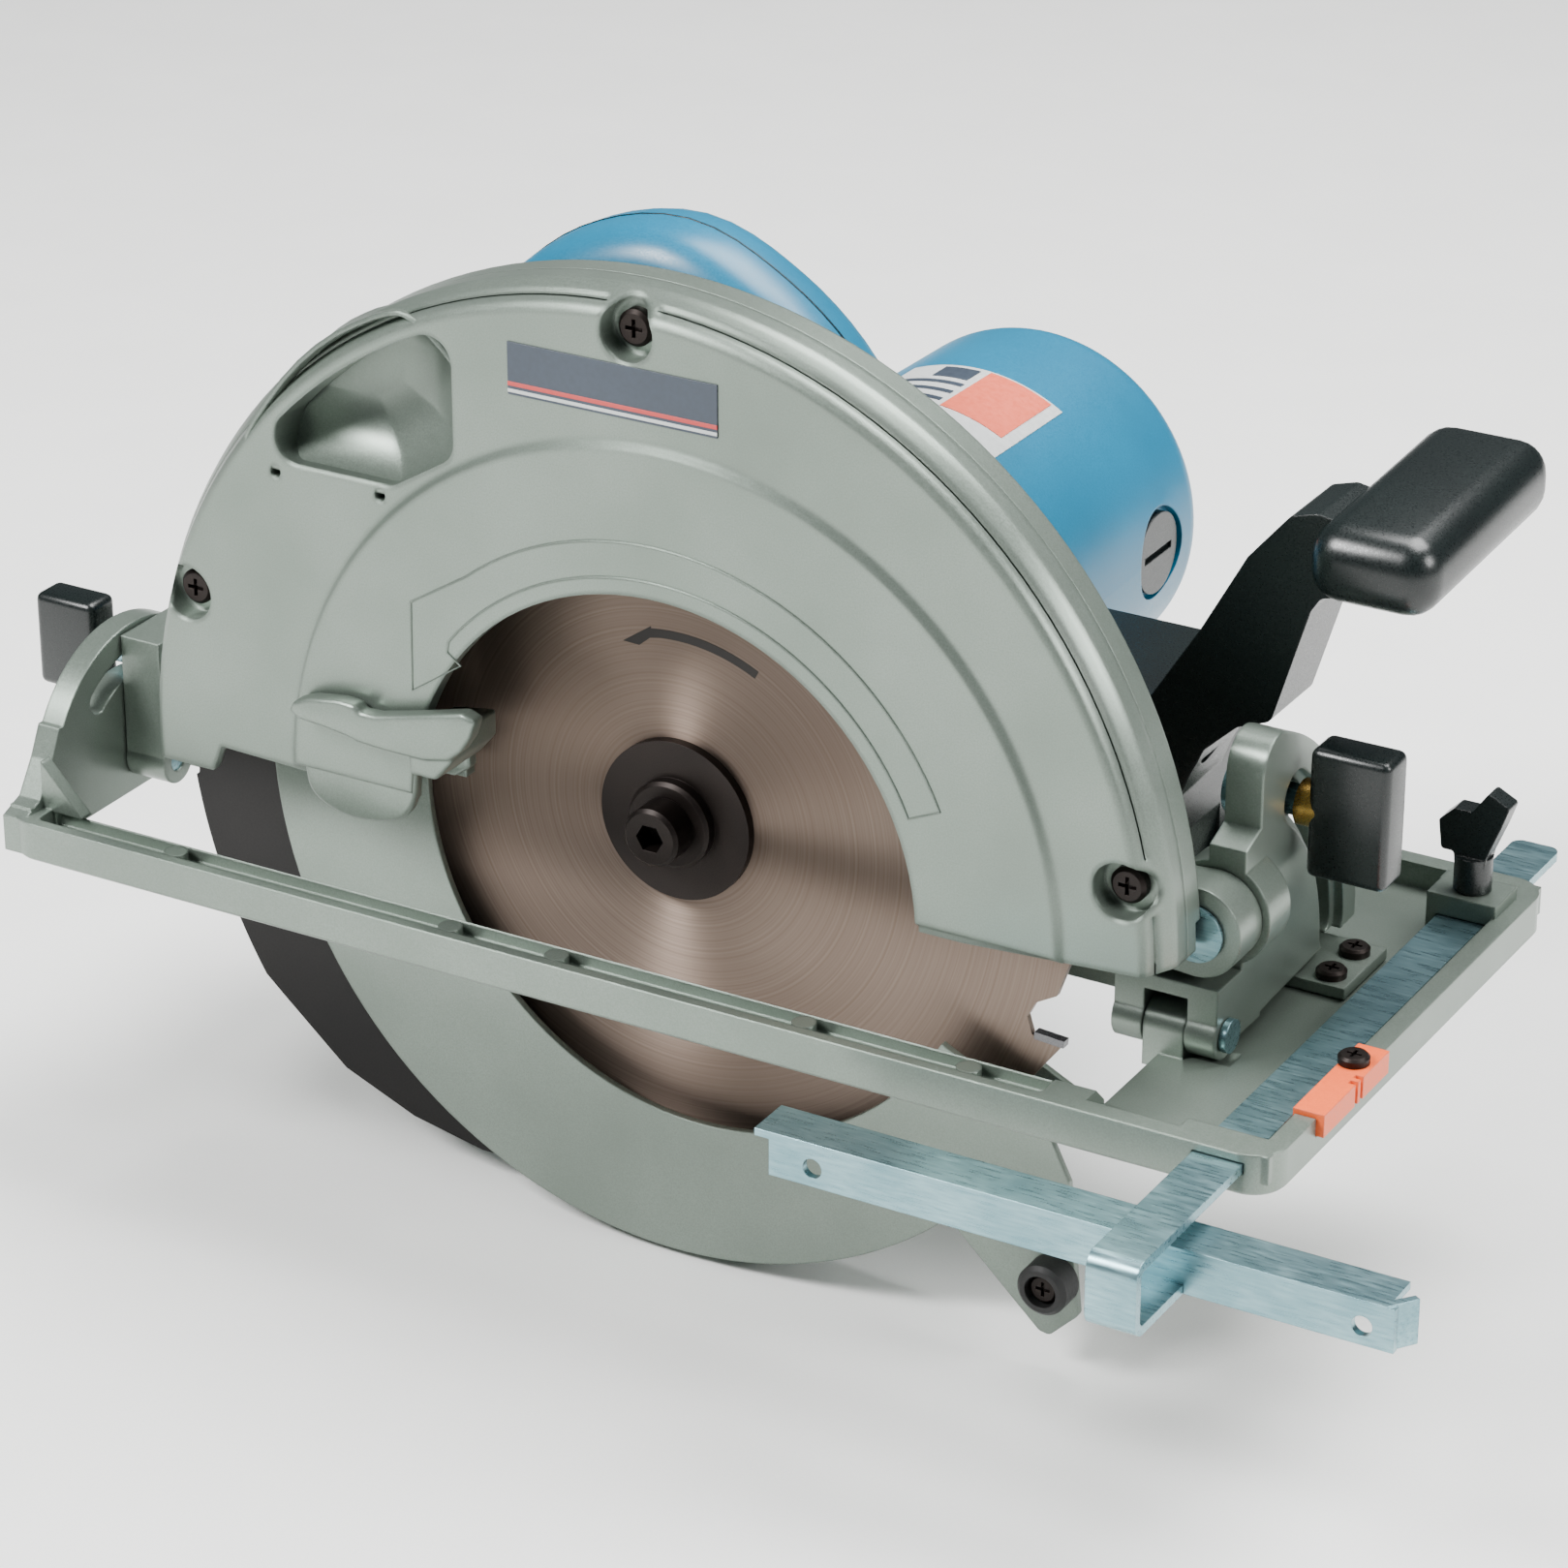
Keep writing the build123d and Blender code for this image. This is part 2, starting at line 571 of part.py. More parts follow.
def handle_outline():
    """D handle over the motor: grip on top, heel at the rear, foot into the housing."""
    outer = Polygon(
        (52, 60), (45, 90), (35, 116), (23, 130), (1.4, 144), (-21, 147.5), (-45, 142),
        (-72, 122), (-100, 94), (-119, 60), (-112, 40), (-94, 31), (-36, 18), (-20, 30),
        align=None)
    outer = fillet(outer.vertices(), 8)
    loop = Polygon((-18, 86), (-20, 104), (-34, 108), (-58, 98), (-84, 72), (-88, 56),
                   (-80, 50), (-46, 50), (-30, 62), align=None)
    return outer - fillet(loop.vertices(), 5)


def handle_solid():
    """The handle before it is split and hollowed, edges rounded for the hand."""
    body = along_y(handle_outline(), *GRIP_Y)
    faces = body.faces().filter_by(Axis.Y).sort_by(Axis.Y)
    body = fillet(faces[0].edges() + faces[-1].edges(), 6)
    return body - rod_y(HOUSING_R[0] + 0.05, 0, 100, MOTOR_X, MOTOR_Z)


def handle_half(side):
    """Hollow shell on one side of the grip's mid plane: -1 towards the blade, +1 away."""
    hollow = along_y(offset(handle_outline(), -4.5), GRIP_Y[0] + 4, GRIP_Y[1] - 4)
    hollow -= rod_y(HOUSING_R[0] + 4, 0, 100, MOTOR_X, MOTOR_Z)
    for x, z in HANDLE_SCREWS:
        hollow -= rod_y(5, 0, 100, x, z)
    shell = handle_solid() - hollow
    for x, z in HANDLE_SCREWS:
        shell -= rod_y(2.0 + FIT, 0, 46, x, z) + rod_y(4.5, 0, GRIP_Y[0] + 3, x, z)
    shell -= block((-46, -17), (32.4, 45.6), (86, 124)) + rod_y(7, 50, 100, -66, 112)
    shell -= rod_x(8.05, -140, -100, 39, 52) + rod_y(2.0 + FIT, 29.8, 48.2, *TRIGGER_AT)
    middle = sum(GRIP_Y) / 2
    y = (0, middle) if side < 0 else (middle, 100)
    return shell & block((-200, 200), y, (-50, 200))


def trigger():
    """Finger trigger that swings on the stub pins at its front end."""
    shape = outline(((-19, 121), (-20, 106), (-38, 99), (-44, 100), (-43, 119)), 2.0)
    return along_y(shape, 33.4, 44.6) + rod_y(2.0, 30, 48, *TRIGGER_AT)


def switch_body():
    """Switch with its plunger behind the trigger."""
    return block((-74, -58), (31, 47), (106, 114)) + block((-58, -51), (35, 43), (110, 113))


def lock_button():
    """Push button on the handle's side that holds the trigger in."""
    button = rod_y(6.6, 50, 58.5, -66, 112)
    return chamfer(button.edges().group_by(Axis.Y)[-1], 1.0)


def cord_gland():
    """Rubber sleeve in the handle's heel, where the cord would come out."""
    gland = rod_x(8, -128, -108, 39, 52) + rod_x(10, -128, -122, 39, 52)
    return gland - rod_x(4.3, -140, -100, 39, 52)


def handle_screws():
    """Screws that draw the two handle halves together."""
    head = pan_screw(2.0, 20, 3.8, 2.4)
    return [facing((x, GRIP_Y[0] + 3, z), (0, -1, 0)) * head for x, z in HANDLE_SCREWS]


HANDLE_SCREWS = ((22, 110), (-92, 90), (-86, 40))
TRIGGER_AT = (-23.0, 116.0)
LOCK_AT = (30.0, 36.0)      # shaft lock, y and z


# ---------------------------------------------------------------- front handle


def front_handle_arm():
    """Moulded arm bolted to the gear housing's flank; a channel open to the front."""
    side = Polygon(
        (60, -18), (113, -18), (116, 0), (116, 12), (122, 26), (131, 34.5), (140, 38),
        (149.5, 70), (152, 74), (172, 79), (172, 92), (150, 96), (143, 94), (132, 81),
        (120, 59), (107, 38), (60, 38), align=None)
    side = fillet(side.vertices().filter_by_position(Axis.X, 112.5, 160), 3)
    arm = along_y(side, 52, 76) + block((60, 116), (76, 95), (-18, 38))
    arm -= block((136, 156), (57, 71), (30, 72)) & along_y(offset(side, -4), 52, 76)
    arm -= rod_y(32, 40, 100, PIVOT_X, PIVOT_Z)
    arm -= rod_y(HOUSING_R[0] + 0.05, 40, 100, MOTOR_X, MOTOR_Z)
    for y in (60, 86):
        arm -= rod_x(2.5 + FIT, 50, 120, y, 24) + rod_x(5.2, 72, 120, y, 24)
    return arm


def front_grip():
    """Rounded T grip lying across the saw, moulded over the arm's end."""
    grip = Pos(168.5, 79, 87) * Box(35, 78, 20)
    grip = fillet(grip.edges().filter_by(Axis.Y), 8)
    grip = fillet(grip.edges().group_by(Axis.Y)[0], 5)
    grip = fillet(grip.edges().group_by(Axis.Y)[-1], 5)
    return grip - front_handle_arm()


# ---------------------------------------------------------------- sole plate

def sole_sketch(inset):
    x0, x1 = SOLE_X[0] + inset, SOLE_X[1] - inset
    y0, y1 = SOLE_Y[0] + inset, SOLE_Y[1] - inset
    sheet = RectangleRounded(x1 - x0, y1 - y0, max(9 - inset, 2))
    return Pos((x0 + x1) / 2, (y0 + y1) / 2) * sheet


def slot_sketch():
    """Blade slot: wider amidships for the tilted guard, with a bay for the gear housing."""
    slot = Polygon(
        (REAR_X[1], RAIL_Y), (REAR_X[1], 17), (-140, 17), (-132, 27), (-46, 27), (-40, 48),
        (62, 48), (68, 27), (130, 27), (134, 17), (SLOT_END_X, 17), (SLOT_END_X, RAIL_Y),
        align=None)
    return fillet(slot.vertices(), 3)


def sole_plate():
    """Cast plate: raised rim, rail with a trough, ribs, hinge lugs and the rear arch."""
    top, floor_z = SOLE_Z + SOLE_H, SOLE_Z + FLOOR_T
    rail_mid = (SOLE_Y[0] + RAIL_Y) / 2
    plate = along_z(sole_sketch(0), SOLE_Z, top)
    plate = chamfer(plate.edges().group_by(Axis.Z)[0], 0.8)
    rail = Pos(-20, rail_mid) * Rectangle(322, RAIL_Y - SOLE_Y[0])
    plate -= along_z(sole_sketch(5.5) - rail, floor_z, top + 1)
    plate -= along_z(Pos(-20, rail_mid) * RectangleRounded(300, 9, 2), top - 5, top + 1)
    for x in (-128, -42, -10, 62, 108):
        plate += rod_z(3.2, floor_z, top - 1, x, rail_mid)
    relief = Polygon((RAIL_Y - 5, top + 0.5), (RAIL_Y + 0.5, top + 0.5), (RAIL_Y + 0.5, top - 5),
                     align=None)
    plate -= along_x(relief, -171, 142.5)
    lip = (offset(slot_sketch(), 4) - slot_sketch()) & Pos(-20, 20) * Rectangle(310, 100)
    plate += along_z(lip, floor_z, floor_z + 2.5)
    for x in (-120, -80, 92):
        plate += block((x - 1.5, x + 1.5), (30, 112), (floor_z - 0.5, top - 4))
    plate -= along_z(slot_sketch(), SOLE_Z - 1, top + 1)
    for y in (-47, 109):
        plate += block((166, 191), (y - 4, y + 4), (floor_z - 0.5, top))
    plate -= block((BAR_X[0] - 0.3, BAR_X[1] + 0.3), (SOLE_Y[0] - 1, SOLE_Y[1] + 1),
                   (BAR_Z[0] - 0.3, BAR_Z[1] + 0.3))
    bridge = block((169, 188), (WING_Y - 7, WING_Y + 7), (floor_z - 0.5, top + 3.5))
    bridge -= block((BAR_X[0] - 0.3, BAR_X[1] + 0.3), (WING_Y - 8, WING_Y + 8),
                    (BAR_Z[0] - 0.3, BAR_Z[1] + 0.3))
    plate += bridge - rod_z(3.0 + FIT, BAR_Z[1], 0, WING_X, WING_Y)
    plate += block((186.5, 192), (-30, 12), (top - 8, top - 5))
    plate -= block((186, 200), (-28.3, 9.7), (top - 5, top + 1))
    plate -= rod_z(2.0 + FIT, top - 9, top, 189.3, 0)
    return plate_hinges(plate) + rear_arch() - rod_x(3.0, -200, -165, TILT_Y, TILT_Z)


def plate_hinges(plate):
    """Add the front hinge lug and the clearance round the tilt plate's knuckles."""
    plate += block((135.5, 146.5), (-6, 6), (SOLE_Z, TILT_Z)) + rod_x(
        6, 135.5, 146.5, TILT_Y, TILT_Z)
    plate -= rod_x(3.0, 120, 170, TILT_Y, TILT_Z)
    plate -= rod_x(7.5, 146.5, PLATE_X[1] + 3, TILT_Y, TILT_Z)
    for dy in (0, 14):
        plate += rod_z(4.5, SOLE_Z + 1, SOLE_Z + FLOOR_T + 0.5, 162, 47 + dy)
        plate -= rod_z(2.0 + FIT, SOLE_Z + 1.5, 0, 162, 47 + dy)
    return plate


def rear_arch():
    """Arch behind the blade with the arc slot for the rear clamp."""
    centre = Pos(TILT_Y, TILT_Z)
    disc = centre * Circle(38) & Pos(-10, 20) * Rectangle(56, 84)
    foot = Polygon((-51.4, -32), (-51.4, -21.9), (-44, -19), (-38, -10), (-34, -2), (-20, -2),
                   (-20, -32), align=None)
    slot = centre * arc_slot(REAR_ARC_R, 7.6, REAR_STUD_ANGLE - 3, REAR_STUD_ANGLE + 48)
    arch = disc + foot + Pos(-12, -26) * Rectangle(72, 12) - slot
    arch = along_x(arch, *REAR_X)
    gusset = Polygon((REAR_X[1], -22), (-160, -22), (REAR_X[1], -8), align=None)
    return arch + along_y(gusset, -43, -39)


def sight_guide():
    """Small moulded pointer on the front edge."""
    top = SOLE_Z + SOLE_H
    plate = block((186.3, 194.5), (-28, 9.4), (top - 4.8, top + 1.2))
    for y in (-9.5, -6.5):
        plate -= block((192.5, 196), (y - 0.8, y + 0.8), (-50, 0))
    return plate - rod_z(2.0 + FIT, -60, 0, 189.3, 0)


def front_bracket():
    """Upright behind the tilt plate that carries the front clamp stud."""
    y, z = polar(ARC_R, STUD_ANGLE, TILT_Y, TILT_Z)
    floor_z = SOLE_Z + FLOOR_T
    face = Polygon((y - 11, floor_z + 0.5), (y - 10, z + 4), (y - 5, z + 8), (y + 5, z + 8),
                   (y + 11, z + 2), (y + 28, floor_z + 0.5), align=None)
    upright = along_x(face, 139.2, PLATE_X[0] - 0.3)
    foot = block((139.2, 168), (y + 2, y + 28), (floor_z + 0.5, floor_z + 3.5))
    bracket = upright + foot - rod_x(4, 120, 160, y, z)
    for dy in (0, 14):
        bracket -= rod_z(2.0 + FIT, -60, 0, 162, 47 + dy)
    return bracket


def plate_screws():
    """Identical screws: one holds the sight guide, two the front bracket."""
    head = pan_screw(2.0, 5.5, 4.0, 2.4)
    floor_z = SOLE_Z + FLOOR_T
    places = [(162, 47, floor_z + 3.5), (162, 61, floor_z + 3.5),
              (189.3, 0, SOLE_Z + SOLE_H + 1.2)]
    return [Pos(*place) * head for place in places]


def front_stud():
    """Front stud, fixed in the bracket, with a head behind it."""
    y, z = polar(ARC_R, STUD_ANGLE, TILT_Y, TILT_Z)
    return rod_x(4, 139.2, 174, y, z) + rod_x(7, 136.2, 139.2, y, z)


def hinge_pins():
    """Front and rear tilt pins, pressed into the sole plate's lugs."""
    front = rod_x(3.0, 126.5, PLATE_X[1] + 0.3, TILT_Y, TILT_Z)
    rear = rod_x(3.0, REAR_X[0], -160.5, TILT_Y, TILT_Z)
    return [front + rod_x(4.4, PLATE_X[1] + 0.3, PLATE_X[1] + 2, TILT_Y, TILT_Z), rear]


# ---------------------------------------------------------------- rip guide

def guide_bar():
    """Flat bar through the sole plate, folded back under at its near end."""
    x0, x1 = BAR_X
    t = BAR_Z[1] - BAR_Z[0]
    path = Polygon(
        (BAR_FAR_Y, BAR_Z[0]), (BAR_FAR_Y, BAR_Z[1]), (BAR_NEAR_Y, BAR_Z[1]),
        (BAR_NEAR_Y, -43.5), (-69.5, -43.5), (-69.5, -43.5 + t), (BAR_NEAR_Y + t, -43.5 + t),
        (BAR_NEAR_Y + t, BAR_Z[0]), align=None)
    bends = path.vertices().filter_by_position(Axis.X, BAR_NEAR_Y - 1, BAR_NEAR_Y + 0.5)
    inner = path.vertices().filter_by_position(Axis.X, BAR_NEAR_Y + 1, BAR_NEAR_Y + 4)
    path = fillet(bends, 4.2)
    inner = path.vertices().filter_by_position(Axis.X, BAR_NEAR_Y + 1, BAR_NEAR_Y + 4)
    bar = along_x(fillet(inner, 1.8), x0, x1)
    tip = bar.edges().filter_by(Axis.Z).group_by(Axis.Y)[-1]
    return fillet(tip, 3)


def guide_fence():
    """Angle section that runs along the work's edge."""
    leg = block((74, 238), (-83, -81), (-45.5, -32)) & block((70, 240), (-90, -60), (-43.5, -30))
    flange = block((70, 236), (-83, -70), (-33.7, -31.7))
    fence = leg + flange
    for x in (86, 230):
        fence -= rod_y(2.6, -90, -75, x, -38.5)
    lip = along_z(Polygon((236, -83), (241, -76), (239.4, -75), (234.6, -81), align=None),
                  -43.5, -31.7)
    slot = block((BAR_X[0] - 0.1, BAR_X[1] + 0.1), (-84, -60), (-43.6, -41.0))
    return fence + lip - slot


def wing_screw():
    """Rip guide's clamp screw with a moulded wing."""
    wing = outline(((-8, 0), (-4.5, 0), (-4, -4), (4, -4), (4.5, 0), (8, 9), (10, 15),
                    (4, 18), (0, 12), (-5, 12), (-9, 8)), 1.0)
    body = along_y(Pos(WING_X, -7) * wing, WING_Y - 3, WING_Y + 3)
    return body + rod_z(5, -17.5, -8, WING_X, WING_Y) + rod_z(
        3.0, BAR_Z[1] + 0.4, -10, WING_X, WING_Y)


# ---------------------------------------------------------------- tilting frame

def front_tilt_plate():
    """Front plate: knuckle on the tilt hinge, arc slot, rounded ear and pivot boss."""
    centre = Pos(TILT_Y, TILT_Z)
    face = Polygon((8.3, -25.8), (8.3, 24), (16.3, 27), (16.3, 60), (92, 60), (92, -21.4),
                   (59, -22.9), (27, -24.3), align=None)
    face = face & centre * Circle(76)
    face = fillet(face.vertices().sort_by(Axis.Y)[-1], 9)
    slot = centre * arc_slot(ARC_R, 8.6, STUD_ANGLE - 47, STUD_ANGLE + 4)
    rim = centre * arc_slot(ARC_R, 14, STUD_ANGLE - 47, STUD_ANGLE + 4)
    plate = along_x(face - slot, *PLATE_X) - along_x(rim, PLATE_X[1] - 2.5, PLATE_X[1] + 1)
    plate += rod_y(PIVOT_R + 2, 8.3, 20, PIVOT_X, PIVOT_Z) + block(
        (PIVOT_X - 14, PLATE_X[1]), (8.3, 20), (-26, PIVOT_Z))
    clevis = block((127, PLATE_X[1]), (-5, 9), (-22, -8)) + rod_x(6.5, 127, 155, TILT_Y, TILT_Z)
    plate += clevis + block((127, 146), (6, 20), (-24, -8))
    plate -= block((135.1, 146.9), (-20, 8.3), (-40, -12)) + rod_x(8.3, 135.1, 146.9, TILT_Y, TILT_Z)
    plate -= rod_y(PIVOT_R + 1.5, -20, 8.3, PIVOT_X, PIVOT_Z)
    plate -= rod_y(5.0, 0, 40, PIVOT_X, PIVOT_Z)
    return plate - rod_x(3.0 + FIT, 100, 160, TILT_Y, TILT_Z)


def pivot_pin():
    """Depth pivot: pressed into the tilt plate, running in the case's arm."""
    return rod_y(5.0, -4.3, 20, PIVOT_X, PIVOT_Z) + rod_y(7.5, -5.3, -4.3, PIVOT_X, PIVOT_Z)


def depth_guide():
    """Rear casting on the tilt hinge with the curved bar that sets the depth."""
    stud_y, stud_z = polar(REAR_ARC_R, REAR_STUD_ANGLE, TILT_Y, TILT_Z)
    foot = Polygon((-6, -22), (-6, 14.5), (20.2, 14.5), (20.2, -24), (6, -24), align=None)
    casting = along_x(foot, *REAR_BLOCK_X) + rod_x(6.5, *REAR_BLOCK_X, TILT_Y, TILT_Z)
    casting += block((REAR_BLOCK_X[0], -50), DEPTH_BAR_Y, (-24, -12.5))
    inner, outer = DEPTH_RADII
    middle = (inner + outer) / 2
    arc = Pos(PIVOT_X, PIVOT_Z) * ((Circle(outer) - Circle(inner)) & sector(outer, 144, 189.5))
    slot = Pos(PIVOT_X, PIVOT_Z) * arc_slot(middle, 7, DEPTH_ANGLE - 35.6, DEPTH_ANGLE + 0.6)
    casting += along_y(arc, *DEPTH_BAR_Y)
    casting -= along_y(slot, 10, 30)
    casting -= rod_x(4, -190, -150, stud_y, stud_z)
    return casting - rod_x(3.0 + FIT, -190, -150, TILT_Y, TILT_Z)


def rear_stud():
    """Rear clamp stud: fixed in the depth guide, it slides in the arch's slot."""
    y, z = polar(REAR_ARC_R, REAR_STUD_ANGLE, TILT_Y, TILT_Z)
    return rod_x(3.5, -199, -172.5, y, z) + rod_x(4, -172.5, -160, y, z)


def clamp_knob(x0, x1, y, z, thick, tall, bore):
    """Paddle knob on an x axis with a blind hole for the stud."""
    knob = block((x0, x1), (y - thick / 2, y + thick / 2), (z - tall / 2, z + tall / 2))
    knob = chamfer(knob.edges().filter_by(Axis.X), 2.4)
    return knob - bore


def front_knob():
    y, z = polar(ARC_R, STUD_ANGLE, TILT_Y, TILT_Z)
    bore = rod_x(6, 150, 175, y, z) + rod_x(2, 170, 190, y, z)
    return clamp_knob(159, 180.5, y, z, 12, 35, bore)


def front_nut():
    """Brass sleeve moulded into the front knob."""
    y, z = polar(ARC_R, STUD_ANGLE, TILT_Y, TILT_Z)
    return rod_x(6, PLATE_X[1] + 0.3, 175, y, z) - rod_x(4 + FIT, 150, 174.5, y, z)


def rear_knob():
    """Rear clamp knob with its threaded collar."""
    y, z = polar(REAR_ARC_R, REAR_STUD_ANGLE, TILT_Y, TILT_Z)
    knob = clamp_knob(-205.5, -186, y, z, 11, 27, rod_x(3.5 + FIT, -199.5, -180, y, z))
    collar = rod_x(5.5, -186, REAR_X[0] - 0.3, y, z)
    return knob + collar - rod_x(3.5 + FIT, -199.5, -170, y, z)


# ---------------------------------------------------------------- depth clamp on the head

DEPTH_ANGLE = 181.7         # clamp stud's place on the depth arc at full depth
LEVER_AT = polar(sum(DEPTH_RADII) / 2, DEPTH_ANGLE, PIVOT_X, PIVOT_Z)


def depth_lever():
    """Clamp lever with its screw, which turns in the case's rear lug."""
    x, z = LEVER_AT
    grip = along_y(outline(((x + 6, z - 5), (x + 6, z + 5), (x - 42, z + 9), (x - 42, z)), 3), 23, 29)
    return rod_y(8, 20.6, 31, x, z) + grip + rod_y(3.0, 13.8, 22, x, z)


def shaft_lock():
    """Push pin in the gear housing's front that stops the drive gear."""
    return rod_x(3.0, 48, 76, *LOCK_AT) + rod_x(6, 76, 80, *LOCK_AT)


NODES = {
    "saw_blade": saw_blade, "carbide_tips": carbide_tips, "outer_flange": outer_flange,
    "inner_flange": inner_flange, "blade_bolt": blade_bolt, "spindle": spindle,
    "drive_gear": drive_gear, "armature_shaft": armature_shaft, "armature_core": armature_core,
    "commutator": commutator, "cooling_fan": cooling_fan,
    "spindle_front_bearing": lambda: ball_bearing(17.5, SPINDLE_R, 15.5, 24),
    "spindle_rear_bearing": lambda: ball_bearing(13, 5, 37.6, 45),
    "armature_front_bearing": lambda: ball_bearing(16, 6, 46, 56, MOTOR_X, MOTOR_Z),
    "armature_rear_bearing": lambda: ball_bearing(11, 4, 160, 167, MOTOR_X, MOTOR_Z),
    "blade_case_cover": blade_case_cover, "case_screws": case_screws,
    "blade_case": blade_case, "gear_cover": gear_cover,
    "riving_knife": riving_knife, "socket_bolts": socket_bolts,
    "lower_guard": lower_guard, "guard_lever": guard_lever,
    "guard_bumper": guard_bumper,
    "guard_screws": guard_screws, "guard_ring": guard_ring,
    "guard_spring": guard_spring, "motor_housing": motor_housing, "brush_caps": brush_caps,
    "brush_holders": brush_holders, "carbon_brushes": carbon_brushes,
    "stator_core": stator_core, "field_coils": field_coils, 
    "handle_near_half": lambda: handle_half(-1), "handle_far_half": lambda: handle_half(1),
    "trigger": trigger, "switch_body": switch_body,
    "lock_button": lock_button, "cord_gland": cord_gland, "handle_screws": handle_screws,
    "front_handle_arm": front_handle_arm, "front_grip": front_grip,
    "sole_plate": sole_plate,
    "sight_guide": sight_guide, "front_bracket": front_bracket,
    "plate_screws": plate_screws, "front_stud": front_stud, "hinge_pins": hinge_pins,
    "guide_bar": guide_bar, "guide_fence": guide_fence, "wing_screw": wing_screw,
    "front_tilt_plate": front_tilt_plate, "pivot_pin": pivot_pin,
    "depth_guide": depth_guide, "rear_stud": rear_stud, "front_knob": front_knob,
    "front_nut": front_nut, "rear_knob": rear_knob, 
    "depth_lever": depth_lever, "shaft_lock": shaft_lock,
}

os.makedirs("parts", exist_ok=True)
for name, make in NODES.items():
    made = make()
    save(name, *(made if isinstance(made, list) else [made]))
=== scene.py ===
from math import cos, pi, radians, sin

import bmesh
import bpy
from mathutils import Matrix, Vector


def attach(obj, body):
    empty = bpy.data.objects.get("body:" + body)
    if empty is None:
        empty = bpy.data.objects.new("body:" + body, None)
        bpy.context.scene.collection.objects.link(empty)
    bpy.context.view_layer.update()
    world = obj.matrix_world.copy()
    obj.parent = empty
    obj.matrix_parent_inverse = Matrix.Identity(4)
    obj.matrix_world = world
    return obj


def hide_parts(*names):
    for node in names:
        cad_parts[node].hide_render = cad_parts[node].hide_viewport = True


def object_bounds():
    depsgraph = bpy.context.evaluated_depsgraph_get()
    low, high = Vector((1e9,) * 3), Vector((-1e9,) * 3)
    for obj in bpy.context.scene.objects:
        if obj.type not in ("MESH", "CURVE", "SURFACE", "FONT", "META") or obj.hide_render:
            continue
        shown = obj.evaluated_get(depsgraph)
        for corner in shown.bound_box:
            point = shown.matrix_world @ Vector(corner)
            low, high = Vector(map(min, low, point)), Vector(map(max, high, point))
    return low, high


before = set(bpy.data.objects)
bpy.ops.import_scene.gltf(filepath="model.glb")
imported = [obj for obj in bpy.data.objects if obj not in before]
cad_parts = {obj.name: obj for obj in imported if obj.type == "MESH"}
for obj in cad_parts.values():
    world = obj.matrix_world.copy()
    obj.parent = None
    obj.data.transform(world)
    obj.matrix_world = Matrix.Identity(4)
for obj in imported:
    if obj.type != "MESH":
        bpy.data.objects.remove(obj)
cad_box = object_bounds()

# ---- Studio: camera, three soft boxes and a dim sky.
# A long lens looks down at the saw's front corner. Big soft lights give the castings
# their broad highlights and keep the black mouldings readable.
camera = bpy.data.objects.new("camera", bpy.data.cameras.new("camera"))
camera.data.lens = 120.9
camera.data.sensor_width = 36.0
camera.location = (0.4712, -1.0385, 0.6200)
look_at = Vector((-0.1391, 0.0161, 0.0398))
camera.rotation_euler = (look_at - camera.location).to_track_quat("-Z", "Y").to_euler()
bpy.context.scene.collection.objects.link(camera)
bpy.context.scene.camera = camera

lamps_aim_at = Vector((-0.12, 0, 0.05))
for light_name, place, size, watts in (
        ("key_box", (-0.95, -1.1, 1.35), 0.6, 62),
        ("top_box", (0.1, 0.5, 1.5), 1.0, 58),
        ("rim_box", (1.3, 0.1, 0.8), 0.6, 20)):
    light = bpy.data.objects.new(light_name, bpy.data.lights.new(light_name, "AREA"))
    light.data.energy, light.data.size = watts, size
    light.location = place
    light.rotation_euler = (lamps_aim_at - light.location).to_track_quat("-Z", "Y").to_euler()
    bpy.context.scene.collection.objects.link(light)

world = bpy.data.worlds.new("studio")
world.use_nodes = True
sky = world.node_tree.nodes["Background"]
sky.inputs["Color"].default_value = (0.90, 0.96, 1.0, 1)
sky.inputs["Strength"].default_value = 0.16
bpy.context.scene.world = world


# ---- Floor: a matt paper sweep, just under the lowest part of the saw.
# One flat sheet of pale paper. Its finish comes from the same recipe as every plain
# finish below: slow drift of colour, fine grain in gloss and relief, softened edges.
def linear(colour):
    """An sRGB hex colour as linear RGBA."""
    channels = [int(colour[i:i + 2], 16) / 255 for i in (0, 2, 4)]
    return tuple(c / 12.92 if c <= 0.04045 else ((c + 0.055) / 1.055) ** 2.4
                 for c in channels) + (1.0,)


def add_node(tree, kind, inputs=None, **properties):
    """Adds a node, sets its properties, and sets or links its inputs."""
    made = tree.nodes.new(kind)
    for key, value in properties.items():
        setattr(made, key, value)
    for key, value in (inputs or {}).items():
        if isinstance(value, bpy.types.NodeSocket):
            tree.links.new(value, made.inputs[key])
        else:
            made.inputs[key].default_value = value
    return made


